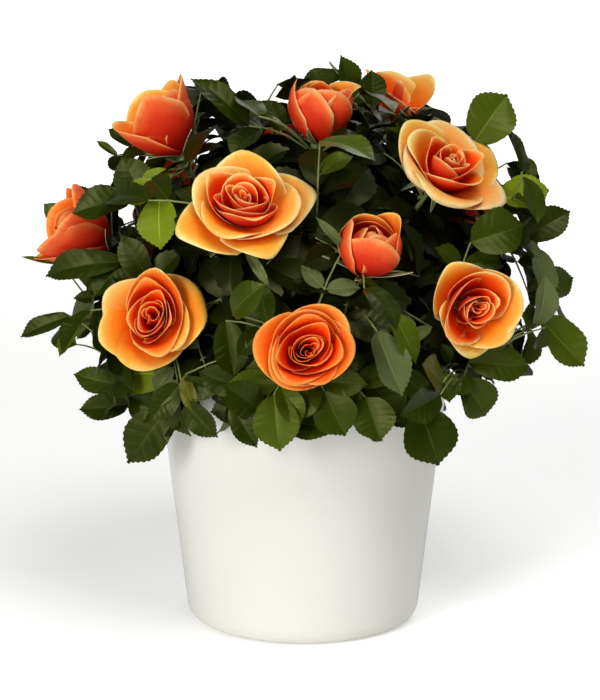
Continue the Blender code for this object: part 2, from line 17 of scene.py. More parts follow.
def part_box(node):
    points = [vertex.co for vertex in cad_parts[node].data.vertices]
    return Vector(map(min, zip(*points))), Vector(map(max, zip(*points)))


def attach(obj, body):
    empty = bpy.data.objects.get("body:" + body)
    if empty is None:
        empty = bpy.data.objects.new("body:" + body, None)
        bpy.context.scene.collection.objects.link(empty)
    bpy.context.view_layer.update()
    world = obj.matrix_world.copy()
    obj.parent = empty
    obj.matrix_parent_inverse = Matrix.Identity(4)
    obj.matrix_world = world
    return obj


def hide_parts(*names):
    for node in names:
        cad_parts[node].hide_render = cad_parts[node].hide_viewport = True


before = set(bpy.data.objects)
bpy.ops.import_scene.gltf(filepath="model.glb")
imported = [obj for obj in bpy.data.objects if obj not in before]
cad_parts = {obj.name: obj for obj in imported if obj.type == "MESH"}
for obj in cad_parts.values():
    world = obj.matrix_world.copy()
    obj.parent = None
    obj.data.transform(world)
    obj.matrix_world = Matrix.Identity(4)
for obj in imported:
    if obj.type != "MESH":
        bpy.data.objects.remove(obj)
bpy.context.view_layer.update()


def mm(*sizes):
    """A length, or a point as a Vector, from millimetres to metres."""
    return sizes[0] * 0.001 if len(sizes) == 1 else Vector(sizes) * 0.001


# ---------------------------------------------------------------- driving dimensions

SEED = 7
GAP = mm(0.3)
GOLDEN_ANGLE = math.radians(137.5)
VIEWPOINT = Vector((-0.0015, -1.18, 0.372))  # before the front, where most of the roses look
VIEW_DOWN = math.radians(11.1)
LENS, SENSOR = 120, 36

POT_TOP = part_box("pot")[1]
POT_HEIGHT = POT_TOP.z
POT_RIM_RADIUS = POT_TOP.x
POT_FOOT_RADIUS = mm(59.7)  # where the wall's slope would meet the ground
POT_FOOT_ROUND = mm(9)
POT_WALL = mm(4.5)
POT_FLOOR = mm(6)
POT_INNER_ROUND = mm(4)
POT_STEPS = 160
SOIL_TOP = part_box("soil")[1].z
SOIL_GAP = mm(0.7)  # between the compost and the wall
SOIL_RINGS, SOIL_STEPS = 26, 96
CRUMBS = 900

STEM_FLARE = mm(12)
STEM_WAIST = mm(7)
STEM_ROWS, STEM_SIDES = 44, 48
KNUCKLE = mm(0, 0, 130)  # the swollen top of the stem, where the canes spring from it
KNUCKLE_RADIUS = mm(10)
CANE_FOOT_RADIUS = mm(2.0)
CANE_END_RADIUS = mm(1.6)
SHOOT_END_RADIUS = mm(1.1)
SIDE_SHOOT_RADIUS = mm(1.2)
CANE_SHARE = 0.46  # the share of the way to its first rose that a cane is bare
FORK_SHARE = 0.52  # where the side shoot leaves
PATH_STEPS = 16

CROWN_CENTRE = mm(0, 0, 185)
CROWN_RADII = mm(137, 129, 98)
CROWN_POWER = 2.3  # 2 is an ellipsoid, and more is squarer

LEAVES = 720  # places for a leaf, spread over the crown
LEAF_DEPTHS = (0.93, 0.74, 0.86, 0.62, 0.80, 0.50)  # shares of the crown's radii, in turn
LEAF_TRIES = 10  # ways to lie that are tried at each place
LEAF_SPREAD = mm(9.5)  # least distance between the middles of two leaflets
LEAF_SWING = math.radians(220)
LEAF_DROOP = 0.25
LEAFLET_LENGTH = mm(31)
LEAFLET_WIDTH = 0.60  # of its length
LEAFLET_WAIST = 0.42  # the share of its length at which it is widest
LEAFLET_THICKNESS = mm(0.25)
FINE_VEINS, COARSE_VEINS = 8, 4  # pairs of veins in a leaflet at the crown's outside, and inside
FINE_FROM = 0.66  # the share of the crown's radii beyond which leaflets are fine
LEAF_STALK = mm(4)
LEAF_STALK_RADIUS = mm(0.5)
PAIR_PLACES = (0.80, 0.52)  # the shares of its stalk at which a leaf's side leaflets stand
PAIR_MIN_STALK = mm(18)  # and the shortest that has the second of them

CUP_RANK = 0.6  # of the outermost petal that still stands round the heart
OPEN_RANKS = (0, 0.04, 0.08, 0.12, 0.17, 0.22, 0.27, 0.32, 0.37, 0.42, 0.47, 0.52, 0.57, 0.61)
OPEN_OUTER_RANKS = (0.76, 0.82, 0.88, 0.92, 0.97, 1.0)
BUD_RANKS = (0, 0.06, 0.12, 0.18, 0.25, 0.32, 0.39, 0.46, 0.53, 0.60)
BUD_OUTER_RANKS = (0.70, 0.80, 0.90, 1.0)
PETAL_THICKNESS = mm(0.35)
HEART_MOUTH = mm(1.5)
CORE_SHARES = (1.0, 0.54)  # of a rose's mouth, that its cup takes, as a bud and full blown
CUP_ROOM = (2.0, 1.22)  # a petal's half width by its mouth: at the heart, and where cups end
OUTER_ROOM = (1.25, 1.35, 0.66)  # there, and outermost as a bud and full blown
FLARE_SPREAD = 220  # degrees of flare that would double a petal's mouth
HEAD_SHARE = 0.55  # the share of a rose's height at which its middle lies
ROSE_FOOT_ROOM = mm(7)
ROSE_LIP_ROOM = mm(2)
ROSE_CLEARANCE = 1.12  # of its mouth's radius, that no leaf stands before
ROSE_DEPTH = 0.22  # of its height, behind its middle, that its spread petals reach back
HIP_LENGTH = mm(6)
HIP_WAIST, HIP_BULGE = mm(1.2), mm(2.6)  # its radius at its ends, and what its middle adds
SEPALS = 5
SEPAL_WIDTH = mm(5.4)
SEPAL_ROWS = 12
SEPAL_COLUMNS = (-1, -0.72, 0, 0.72, 1)
SEPAL_THICKNESS = mm(0.36)

PAPER_SPAN = (0.3, 2.2)  # distances from the pot between which the paper's glow grows
PAPER_GLOW = (0.36, 1.0)
PAPER_LIGHT = 0.12  # the part of it that lights the plant
SKY_LIGHT = 0.08
SWEEP_REACH, SWEEP_BACK, SWEEP_TOP, SWEEP_BEND = 3.0, 2.6, 2.6, 0.5

# Each lamp: its name, its place, the height it looks at, its size, its power and its colour.
LIGHTS = (
    ("key", (-0.95, -1.6, 0.75), 0.18, 0.6, 12.5, (1, 0.98, 0.95)),
    ("front", (-1.0, -1.5, 0.12), 0.12, 0.9, 12.5, (1, 1, 1)),
    ("top", (0.3, -0.8, 1.4), 0.2, 0.9, 13, (1, 1, 1)),
    ("rim", (0.5, 1.1, 1.3), 0.2, 0.8, 6, (1, 1, 1)),
)

# Each mass: its name, and its shoots. The first shoot carries on its cane, and the next leaves
# it at the fork. A shoot has the middle of its rose, or its tip where it has none, the way that
# this faces, and for a rose the radius of its mouth, its height from hip to lip, and how far it
# is open, from 0, a tight bud, to 1, full blown.
MASSES = (
    ("left_high", (((-72, -10, 260), (-0.50, -0.15, 0.85), 18, 37, 0.30),
                   ((-115, -10, 204), (-0.85, -0.15, 0.50), 17, 34, 0.25))),
    ("left_low", (((-73, -70, 170), (-0.12, -0.93, 0.33), 28, 27, 0.85),
                  ((-94, -30, 134), (-0.85, -0.35, -0.35)))),
    ("centre", (((-28, -75, 227), (-0.05, -0.70, 0.71), 34, 29, 1.00),
                ((8, -56, 212), (0.25, -0.60, 0.75)))),
    ("front", (((2, -105, 161), (0.10, -0.95, 0.28), 26, 26, 0.80),
               ((32, -85, 209), (0.12, -0.50, 0.86), 15, 32, 0.25))),
    ("right_low", (((83, -65, 174), (0.34, -0.92, 0.10), 26, 27, 0.75),
                   ((86, -48, 136), (0.72, -0.55, -0.40)))),
    ("right_high", (((71, -35, 240), (0.42, -0.55, 0.72), 30, 29, 0.90),
                    ((106, -5, 200), (0.90, -0.10, 0.40)),
                    ((50, 10, 234), (0.40, 0.20, 0.90)))),
    ("top", (((8, -20, 268), (0.05, -0.20, 0.98), 16, 33, 0.30),
             ((50, 35, 270), (0.20, 0.10, 0.95), 19, 30, 0.45),
             ((-32, 20, 240), (-0.50, 0.25, 0.85)))),
    ("rear_left", (((-72, 68, 216), (-0.50, 0.62, 0.60), 28, 29, 0.85),
                   ((-78, 60, 140), (-0.70, 0.62, -0.35)))),
    ("rear", (((10, 98, 186), (0.05, 0.92, 0.38), 30, 29, 0.95),
              ((-18, 58, 250), (-0.10, 0.45, 0.88), 15, 32, 0.25))),
    ("rear_right", (((88, 64, 206), (0.62, 0.55, 0.55), 25, 28, 0.70),
                    ((78, 62, 140), (0.68, 0.65, -0.35)))),
)

# The leaflets that give the crown's outline: the foot, the tip, the width and the colour of each,
# which is one of the dark ones where none is named.
OUTLINE_LEAFLETS = (
    (-117, -25, 163, -143, -20, 151, 10, ""), (-112, -30, 161, -122, -35, 144, 8, "mid"),
    (-102, -15, 163, -115, -15, 149, 11, "dark"), (-101, -20, 172, -116, -20, 171, 6, ""),
    (-88, -40, 130, -115, -35, 135, 13, ""), (-87, -42, 121, -112, -40, 118, 13, ""),
    (-64, -60, 126, -87, -55, 94, 22, "dark"), (-57, -80, 130, -41, -88, 115, 13, "dark"),
    (-34, -92, 132, -22, -97, 112, 12, ""), (-14, -98, 138, -11, -104, 112, 22, "mid"),
    (10, -95, 139, 20, -98, 118, 21, ""), (30, -90, 135, 37, -96, 115, 20, ""),
    (67, -68, 143, 71, -74, 129, 14, ""), (56, -82, 127, 65, -88, 101, 27, ""),
    (78, -60, 137, 90, -55, 118, 20, ""), (81, -60, 146, 112, -50, 142, 17, "deep"),
    (119, -30, 162, 142, -25, 137, 21, "mid"), (116, -40, 160, 119, -45, 187, 13, "grey"),
    (114, -15, 173, 138, -5, 179, 16, ""), (108, -20, 200, 121, -15, 189, 8, "grey"),
    (112, -15, 201, 135, -10, 214, 16, ""), (99, -25, 222, 123, -20, 226, 19, "fresh"),
    (115, 5, 227, 112, 10, 240, 12, ""), (86, -10, 249, 103, 0, 272, 25, "mid"),
    (82, -50, 204, 109, -40, 211, 23, "deep"), (36, 10, 265, 35, 15, 283, 14, ""),
    (22, 15, 269, 19, 10, 291, 15, ""), (22, 20, 280, -2, 20, 274, 13, ""),
    (-27, -20, 258, -56, -15, 281, 14, ""), (-26, -5, 255, -13, 5, 268, 12, ""),
    (-77, -30, 221, -90, -25, 243, 19, ""), (-85, -35, 223, -114, -35, 216, 17, ""),
    (-70, -50, 226, -69, -60, 202, 20, "fresh"), (-89, -35, 192, -129, -25, 183, 15, ""),
    (-76, -45, 186, -89, -45, 207, 15, ""), (-86, 0, 246, -99, 5, 254, 7, ""),
    (-94, 0, 241, -105, 5, 248, 4, ""), (-120, 15, 203, -134, 18, 214, 10, ""),
    (-123, -12, 187, -143, -12, 191, 2.5, "olive"), (62, -74, 166, 42, -84, 159, 7, "grey"),
    (19, -88, 206, 6, -92, 222, 4.5, "grey"), (-27, -80, 204, -16, -92, 189, 5, "grey"),
    (-64, -70, 151, -73, -78, 142, 3.5, "grey"), (-61, -70, 139, -73, -76, 127, 9, "grey"),
    (-57, -74, 143, -52, -82, 125, 8, "olive"), (120, -42, 160, 116, -38, 148, 9, "dark"),
)

# Where the sky shows through the crown, to whoever looks from the viewpoint: X and Z of the
# middle of each gap, in the plant's middle plane, and its radius.
SKY_GAPS = (
    (-107, 239, 13), (-102, 230, 8), (-45, 286, 9), (-37, 280, 6), (-21, 281, 10), (130, 201, 8),
    (129, 189, 5), (-111, 139, 8), (-119, 170, 9), (80, 101, 10), (114, 253, 8), (121, 237, 8),
    (101, 241, 6), (-122, 182, 7), (79, 277, 8), (73, 267, 6), (81, 261, 4), (132, 167, 5),
    (106, 116, 8), (-61, 86, 7), (5, 86, 5), (28, 88, 4), (-26, 103, 3.5), (-62, 231, 5),
    (-88, 203, 5), (-11, 251, 4.5), (73, 127, 3.5), (61, 157, 3.5), (106, 189, 4.5),
    (108, 173, 4.5), (119, 138, 5), (-23, 271, 5), (-96, 101, 4.5), (26, 266, 4), (125, 194, 6),
    (112, 167, 4), (-88, 269, 6), (-10, 281, 5), (-16, 277, 4), (-36, 90, 4.5), (-63, 90, 6),
    (-130, 143, 4),
)

LEAF_COLOURS = {  # how a spray's leaves are coloured: upper side, under side, and their share
    # The first colour, inner, is painted shade: near-black leaves that stand for the shade inside the
    # crown.
    "inner": ((0.0070, 0.0120, 0.0004), (0.0140, 0.020, 0.002), 0.0),
    "dark": ((0.0160, 0.0272, 0.0004), (0.031, 0.045, 0.004), 0.46),
    "deep": ((0.0290, 0.0465, 0.0008), (0.046, 0.062, 0.006), 0.28),
    "mid": ((0.0560, 0.0830, 0.0030), (0.072, 0.095, 0.012), 0.11),
    # The grey leaves are grey-green, partly in their own colour and partly by a painted whitish sheen.
    "grey": ((0.0950, 0.1180, 0.0400), (0.110, 0.130, 0.055), 0.09),
    "olive": ((0.0740, 0.0720, 0.0040), (0.092, 0.090, 0.014), 0.03),
    "fresh": ((0.1500, 0.2050, 0.0080), (0.160, 0.200, 0.028), 0.012),
}
SHADE_DEPTH = 0.78  # the share of the crown's radii within which all leaves have the first colour, a painted shade for the shaded inside of the crown
LEAF_TINT = (1.0, 1.0, 0.45, 1)
OUTLINE_COLOURS = ("dark", "dark", "deep")

# The colours along a petal from its foot to its lip, each with its place: on the face of those at
# the heart, of the outer ones, and of those that have paled, and on the reverse.
PETAL_INNER = (
    (0.0, 0.62, 0.004, 0.0003), (0.45, 0.86, 0.013, 0.0004), (0.72, 0.90, 0.036, 0.0012),
    (0.87, 0.94, 0.105, 0.004), (0.955, 0.96, 0.290, 0.050), (1.0, 0.98, 0.570, 0.200),
)
PETAL_OUTER = (
    (0.0, 0.66, 0.006, 0.0004), (0.25, 0.88, 0.046, 0.0008), (0.50, 0.93, 0.135, 0.0015),
    (0.74, 0.93, 0.265, 0.010), (0.90, 0.94, 0.410, 0.048), (0.965, 0.96, 0.590, 0.150),
    (1.0, 0.98, 0.760, 0.320),
)
PETAL_PALE = (
    (0.0, 0.64, 0.010, 0.0008), (0.25, 0.88, 0.075, 0.002), (0.50, 0.91, 0.200, 0.015),
    (0.74, 0.91, 0.350, 0.068), (0.90, 0.93, 0.490, 0.155), (1.0, 0.98, 0.770, 0.400),
)
PETAL_REVERSE = (
    (0.0, 0.46, 0.003, 0.001), (0.40, 0.62, 0.013, 0.003), (0.70, 0.72, 0.040, 0.010),
    (0.88, 0.83, 0.120, 0.026), (0.955, 0.90, 0.300, 0.090), (1.0, 0.95, 0.560, 0.250),
)

# Traits of single roses: how far the outer petals have paled, from 0 to 1, the rank up to which
# cups stand round the heart, how much of the way to its palest colour a petal gets, and how many
# degrees more the outer petals lean out at their ends.
Traits = namedtuple("Traits", "fading cups paling flare", defaults=(1.0, CUP_RANK, 1.0, 0))
TRAITS = {
    "centre_1": Traits(1.00, 0.58),
    "left_low_1": Traits(0.80, 0.53, 0.98),
    "front_1": Traits(0.25, 0.62, 0.955),
    "front_2": Traits(0.50, 0.62, 0.97),
    "right_low_1": Traits(0.75, 0.38),
    "right_high_1": Traits(1.00, 0.50),
    "left_high_1": Traits(0.45, 0.50, 0.98, 30),
    "left_high_2": Traits(0.20, 0.62, 0.95, 32),
    "top_1": Traits(0.50, 0.62, 0.98),
    "top_2": Traits(1.00, 0.14),
}

# The outer petals of the roses that look to the front, by the rose's mass and number: for each
# its turn in degrees, counted anticlockwise from the right as the rose is seen from before, its
# rank, its reach, how far its lip rolls back in degrees, and how pointed it is, from 0 to 1. Some
# have their point aside: the last number is its place across the petal, turned about.
GUARD_PETALS = {
    "centre_1": (
        (95, 0.82, 1.06, 15, 0.9), (25, 1.00, 1.04, 35, 0.6), (-18, 0.84, 0.98, 25, 0.3),
        (-62, 1.00, 0.92, 40, 0.8), (-112, 0.78, 0.92, 85, 0.5), (205, 1.00, 1.05, 30, 0.9),
        (155, 0.80, 0.98, 25, 0.5),
    ),
    "left_low_1": (
        (152, 0.92, 1.00, 25, 0.6), (84, 0.66, 1.12, 8, 1.0), (24, 1.00, 1.00, 80, 0.3),
        (-38, 0.74, 0.92, 60, 0.5), (-68, 0.64, 0.94, 70, 0.5), (-104, 0.96, 0.98, 25, 0.3),
        (205, 0.96, 1.02, 20, 0.7),
    ),
    "front_1": (
        (108, 0.70, 1.02, 12, 0.6), (50, 0.85, 1.00, 30, 0.3), (0, 0.80, 0.98, 25, 0.3),
        (178, 1.00, 0.98, 35, 0.4), (-130, 0.75, 0.90, 60, 0.4), (-60, 0.66, 0.90, 50, 0.6),
        (228, 0.85, 0.93, 40, 0.5),
    ),
    "front_2": (
        (-108, 0.95, 1.00, 5, 0.4), (-40, 0.85, 0.92, 15, 0.4), (20, 0.92, 1.02, 35, 0.4),
        (170, 0.92, 1.04, 8, 0.6), (95, 0.85, 1.00, 25, 0.5),
    ),
    "right_low_1": (
        (118, 0.92, 1.06, 25, 0.9), (62, 0.66, 0.98, 12, 0.3), (12, 0.84, 1.02, 25, 0.1),
        (-42, 0.80, 1.00, 35, 0.2), (-98, 0.90, 0.98, 60, 0.6), (-150, 0.62, 1.00, 50, 0.4),
        (172, 0.58, 1.10, 8, 0.3),
    ),
    "right_high_1": (
        (112, 0.88, 1.12, 20, 0.5), (62, 0.92, 1.10, 20, 0.6), (14, 1.00, 1.18, 20, 0.6),
        (-48, 0.98, 1.16, 30, 0.8), (240, 0.86, 1.14, 100, 0.2), (196, 0.84, 1.08, 90, 0.2),
        (150, 0.76, 1.04, 50, 0.6), (-90, 0.64, 1.00, 30, 0.5),
    ),
    "top_1": (
        (15, 0.96, 1.05, 110, 0.3), (-40, 0.90, 0.98, 15, 0.4), (-88, 0.86, 1.00, 8, 0.3),
        (-135, 0.94, 1.00, 8, 0.5), (175, 0.90, 1.08, 0, 1.0), (90, 0.72, 0.92, 30, 0.6),
    ),
    "left_high_1": (
        (72, 0.90, 1.12, 5, 0.6, -0.18), (-30, 0.74, 1.18, 4, 1.0, -0.3),
        (122, 0.78, 1.04, 12, 0.6), (-100, 1.00, 1.00, 10, 0.3), (175, 0.84, 1.00, 10, 0.5),
        (24, 0.64, 0.98, 5, 0.6),
    ),
    "left_high_2": (
        (58, 0.96, 1.12, 5, 0.8, -0.2), (-10, 0.90, 1.08, 6, 0.3), (-85, 0.98, 1.10, 30, 0.9),
        (-48, 0.86, 1.10, 8, 0.3), (115, 0.80, 1.06, 8, 0.4), (180, 0.86, 1.12, 10, 0.6),
    ),
    "top_2": (
        (-8, 0.95, 1.06, 30, 0.5), (-62, 0.92, 1.12, 35, 0.5), (42, 0.90, 0.98, 35, 0.6),
        (180, 0.78, 0.22, 30, 0.4), (120, 0.88, 0.46, 40, 0.5), (238, 0.84, 0.30, 40, 0.5),
        (20, 0.66, 0.92, 15, 0.4),
    ),
}


# ---------------------------------------------------------------- helpers

def mix(a, b, share):
    return a + (b - a) * share


def smooth(low, high, value):
    """0 below low and 1 above high, with an even curve between them. It takes arrays too."""
    t = np.clip((value - low) / (high - low), 0, 1)
    return t * t * (3 - 2 * t)


def frame_of(along, face):
    """A rotation whose X runs along, and whose Z is as near to face as it can be."""
    x = along.normalized()
    y = face.cross(x).normalized()
    return Matrix((x, y, x.cross(y))).transposed()


def jitter(chance, reach):
    return Vector([chance.uniform(-reach, reach) for axis in range(3)])


def add_object(name, data):
    made = bpy.data.objects.new(name, data)
    bpy.context.scene.collection.objects.link(made)
    return made


def grid_faces(rows, columns, closed=False):
    """Quads over a grid of points, row by row. A closed grid joins its last column to its first."""
    row, column = np.meshgrid(np.arange(rows - 1), np.arange(columns - (not closed)), indexing="ij")
    after = (column + 1) % columns
    a, b = row * columns + column, row * columns + after
    c, d = (row + 1) * columns + after, (row + 1) * columns + column
    return np.stack([a, b, c, d], axis=-1).reshape(-1, 4)


def rim_faces(rows, columns):
    """Faces that join the edges of two like grids, whose points follow each other."""
    grid = np.arange(rows * columns).reshape(rows, columns)
    loop = np.concatenate([grid[0], grid[1:, -1], grid[-1, -2::-1], grid[-2:0:-1, 0]])
    after = np.roll(loop, -1)
    return np.stack([loop, after, after + grid.size, loop + grid.size], axis=-1)


def flipped(faces):
    """The faces turned over. Each keeps its first corner, so it is cut in triangles the same."""
    return faces[:, [0, 3, 2, 1]]


class Pile:
    """Gathers points and faces, and makes one piece of them."""

    def __init__(self):
        self.points = []
        self.faces = []  # (face array, material number)
        self.maps = {}  # name to a list of arrays, one UV for each point
        self.count = 0

    def add(self, points, faces, mark=0, **maps):
        """Points as an (n, 3) array, and faces as an (m, corners) array, with the number of the
        material, and for each map an (n, 2) array."""
        points = np.asarray(points, float).reshape(-1, 3)
        self.points.append(points)
        self.faces.append((np.asarray(faces) + self.count, mark))
        for name, spots in maps.items():
            self.maps.setdefault(name, []).append(np.asarray(spots, float).reshape(-1, 2))
        self.count += len(points)

    def add_faces(self, faces, mark=0, back=1):
        """More faces on the points of the last adds, counted from the first of those."""
        first = self.count - sum(len(points) for points in self.points[-back:])
        self.faces.append((np.asarray(faces) + first, mark))

    def add_closed(self, rings, inside_out=False):
        """A skin over a (rings, sides, 3) array, with a flat face over either end."""
        count, sides = rings.shape[:2]
        ring = np.arange(sides)[None, :]
        skin = [grid_faces(count, sides, True), ring[:, ::-1], ring + (count - 1) * sides]
        if inside_out:
            skin = [faces[:, ::-1] for faces in skin]
        self.add(rings, skin[0])
        self.add_faces(skin[1])
        self.add_faces(skin[2])

    def add_shell(self, sheets, place, maps=({}, {}), has_edge=False):
        """A thin closed shell from its inner and its outer sheet, two grids of points. With an
        edge, the outermost faces and the rim have the second material."""
        rows, columns = sheets[0].shape[:2]
        for side, points in enumerate(sheets):
            points = points.reshape(-1, 3) @ place[:3, :3].T + place[:3, 3]
            faces = grid_faces(rows, columns)
            faces = faces if side else flipped(faces)
            edge = has_edge & np.isin(np.arange(len(faces)) % (columns - 1), (0, columns - 2))
            self.add(points, faces[~edge], 0, **maps[side])
            self.add_faces(faces[edge], 1)
        self.add_faces(rim_faces(rows, columns), int(has_edge), back=2)

    def piece(self, name, materials):
        points = np.concatenate(self.points)
        corners = np.concatenate([faces.ravel() for faces, mark in self.faces])
        sizes = np.concatenate([np.full(len(f), f.shape[1]) for f, mark in self.faces])
        marks = np.concatenate([np.full(len(f), mark) for f, mark in self.faces])
        starts = np.concatenate([[0], np.cumsum(sizes)[:-1]])
        mesh = bpy.data.meshes.new(name)
        mesh.vertices.add(len(points))
        mesh.vertices.foreach_set("co", points.astype(np.float32).ravel())
        mesh.loops.add(len(corners))
        mesh.loops.foreach_set("vertex_index", corners.astype(np.int32))
        mesh.polygons.add(len(sizes))
        mesh.polygons.foreach_set("loop_start", starts.astype(np.int32))
        mesh.polygons.foreach_set("material_index", marks.astype(np.int32))
        mesh.polygons.foreach_set("use_smooth", np.ones(len(sizes), bool))
        mesh.update(calc_edges=True)
        for map_name, spots in self.maps.items():
            layer = mesh.uv_layers.new(name=map_name)
            values = np.concatenate(spots)[corners]
            layer.uv.foreach_set("vector", values.astype(np.float32).ravel())
        for one in materials:
            mesh.materials.append(one)
        mesh.validate()
        return add_object(name, mesh)

    def show(self, name, materials, slot, *nodes):
        """The piece, in place of these nodes of the CAD model. The slot is not used."""
        piece = self.piece(name, materials)
        if nodes:
            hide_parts(*nodes)
        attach(piece, "root")


def add_tube(pile, points, radii, sides, bumps=None):
    """A tube through these points, closed at both ends, its rings carried smoothly along it."""
    points = np.array([tuple(p) for p in points], float)
    ways = np.gradient(points, axis=0)
    ways /= np.linalg.norm(ways, axis=1)[:, None]
    side = np.cross(ways[0], (0.31, 0.87, 0.38))
    turn = np.arange(sides) * 2 * np.pi / sides
    rings = []
    for i, way in enumerate(ways):
        side -= way * side.dot(way)
        side /= np.linalg.norm(side)
        ring = np.outer(np.cos(turn), side) + np.outer(np.sin(turn), np.cross(way, side))
        reach = radii[i] if bumps is None else radii[i] * (1 + bumps[i])
        rings.append(points[i] + ring * np.reshape(reach, (-1, 1)))
    pile.add_closed(np.array(rings))


# ---------------------------------------------------------------- materials

class Nodes:
    """A material's node tree, with short ways to add to it."""

    def __init__(self, name, roughness, colour, **values):
        self.material = bpy.data.materials.new(name)
        self.material.use_nodes = True
        self.material.diffuse_color = (*colour, 1)
        self.tree = self.material.node_tree
        self.shader = self.tree.nodes["Principled BSDF"]
        self.feed(self.shader, {"Base Color": (*colour, 1), "Roughness": roughness})
        self.feed(self.shader, {key.replace("_", " "): value for key, value in values.items()})

    def feed(self, node, inputs):
        """Sets each of these inputs to its value, or links it to its socket."""
        for key, value in inputs.items():
            if isinstance(value, bpy.types.NodeSocket):
                self.tree.links.new(value, node.inputs[key])
            else:
                node.inputs[key].default_value = value

    def add(self, kind, inputs, **settings):
        node = self.tree.nodes.new(kind)
        for key, value in settings.items():
            setattr(node, key, value)
        self.feed(node, inputs)
        return node.outputs

    def place(self):
        return self.add("ShaderNodeTexCoord", {})["Object"]

    def uv(self, name):
        return self.add("ShaderNodeUVMap", {}, uv_map=name)["UV"]

    def axes(self, vector):
        return self.add("ShaderNodeSeparateXYZ", {"Vector": vector})

    def stretched(self, vector, *scale):
        return self.add("ShaderNodeMapping", {"Vector": vector, "Scale": scale})["Vector"]

    def noise(self, vector, scale, detail, roughness):
        inputs = {"Vector": vector, "Scale": scale, "Detail": detail, "Roughness": roughness}
        return self.add("ShaderNodeTexNoise", inputs)["Fac"]

    def share(self, value, low, high, first=0.0, last=1.0, kind="LINEAR"):
        """How far a value has come from low to high, as a number from first to last."""
        inputs = {"Value": value, "From Min": low, "From Max": high, "To Min": first, "To Max": last}
        return self.add("ShaderNodeMapRange", inputs, interpolation_type=kind)["Result"]

    def maths(self, operation, *values, clamp=False):
        inputs = dict(enumerate(values))
        return self.add("ShaderNodeMath", inputs, operation=operation, use_clamp=clamp)["Value"]

    def ramp(self, source, stops, kind="LINEAR"):
        """Colours along a ramp: each stop is its place, and its colour."""
        colour = self.add("ShaderNodeValToRGB", {"Fac": source})["Color"]
        ramp = colour.node.color_ramp
        ramp.interpolation = kind
        while len(ramp.elements) < len(stops):
            ramp.elements.new(1.0)
        for element, (place, *shade) in zip(ramp.elements, stops):
            element.position = place
            element.color = (*shade, 1)
        return colour

    def blend(self, share, a, b):
        return self.add("ShaderNodeMix", {0: share, 6: a, 7: b}, data_type="RGBA")[2]

    def finish(self, colour, height=None, strength=0.0, distance=0.0):
        """The material, with this colour, and with bumps where it has a height."""
        self.feed(self.shader, {"Base Color": colour})
        if height:
            bumps = {"Strength": strength, "Distance": distance, "Height": height}
            self.feed(self.shader, {"Normal": self.add("ShaderNodeBump", bumps)["Normal"]})
        return self.material


def petal_material():
    """Velvety petals, painted along each petal by its own map: x across it, y from its foot to
    its lip. A second map tells its rank from the heart and which side of it this is."""
    made = Nodes("rose_petal", 0.6, (0.9, 0.4, 0.12), Specular_IOR_Level=0.12, Subsurface_Weight=0.2,
                 Subsurface_Radius=(1.0, 0.4, 0.15), Subsurface_Scale=0.0015)
    span = made.uv("petal")
    kind = made.axes(made.uv("kind"))
    rank, side = kind["X"], kind["Y"]
    streaks = made.noise(made.stretched(span, 34, 2.2, 1), 1.0, 3, 0.6)
    blush = made.noise(made.place(), 90, 3, 0.5)
    along = made.maths("ADD", made.axes(span)["Y"], made.maths("MULTIPLY_ADD", streaks, 0.10, -0.05))
    along = made.maths("ADD", along, made.maths("MULTIPLY_ADD", blush, 0.16, -0.08))
    face = made.blend(rank, made.ramp(along, PETAL_INNER), made.ramp(along, PETAL_OUTER))
    faded = made.maths("SUBTRACT", rank, 1.0, clamp=True)
    face = made.blend(faded, face, made.ramp(along, PETAL_PALE))
    colour = made.blend(side, face, made.ramp(along, PETAL_REVERSE))
    return made.finish(colour, streaks, 0.25, mm(0.3))


def leaf_materials():
    """For each colour its upper side, its under side and its midrib."""
    made = []
    for name, (upper, under, share) in LEAF_COLOURS.items():
        rib = tuple(0.006 + value * 1.7 for value in upper)
        for part, roughness, colour in (("", 0.38, upper), ("_under", 0.6, under), ("_rib", 0.5, rib)):
            gloss = {"Specular_IOR_Level": 0.23, "Specular_Tint": LEAF_TINT}
            made.append(Nodes("leaf_" + name + part, roughness, colour, **gloss).material)
    return made


def grained_material(name, roughness, colour, scale, dark, light):
    made = Nodes(name, roughness, colour)
    grain = made.noise(made.place(), scale, 3, 0.6)
    return made.finish(made.ramp(grain, ((0.3, *dark), (0.7, *light))))


def stalk_material():
    return grained_material(
        "green_stalk", 0.45, (0.16, 0.22, 0.05), 60, (0.10, 0.16, 0.035), (0.24, 0.27, 0.08))


def sepal_materials():
    """A sepal's green middle, and its pale edge."""
    colours = (
        ("sepal", (0.07, 0.12, 0.025), (0.16, 0.21, 0.06)),
        ("sepal_edge", (0.34, 0.36, 0.20), (0.52, 0.50, 0.32)),
    )
    return [grained_material(name, 0.5, light, 140, dark, light) for name, dark, light in colours]


def bark_material():
    """Green bark on the canes, and cracked brown bark on the stem."""
    made = Nodes("rose_bark", 0.62, (0.12, 0.12, 0.05))
    place = made.place()
    age = made.share(made.axes(place)["Z"], mm(170), mm(128))
    cracks = made.noise(made.stretched(place, 1, 1, 0.25), 420, 5, 0.65)
    patches = made.noise(place, 90, 3, 0.5)
    green = made.ramp(patches, ((0.3, 0.07, 0.13, 0.03), (0.7, 0.17, 0.21, 0.06)))
    brown = made.ramp(cracks, ((0.35, 0.035, 0.022, 0.012), (0.65, 0.17, 0.115, 0.06)))
    return made.finish(made.blend(age, green, brown), cracks, 0.6, mm(0.4))


def glaze_material():
    """Warm white glaze, a little warmer at the foot and the rim, where it is thicker."""
    made = Nodes("white_glaze", 0.28, (0.81, 0.79, 0.74), Coat_Weight=0.35, Coat_Roughness=0.12)
    height = made.share(made.axes(made.place())["Z"], 0, POT_HEIGHT)
    thick, thin = (0.800, 0.782, 0.724), (0.822, 0.808, 0.762)
    stops = ((0.0, *thick), (0.12, *thin), (0.95, *thin), (1.0, *thick))
    return made.finish(made.ramp(height, stops, "EASE"))


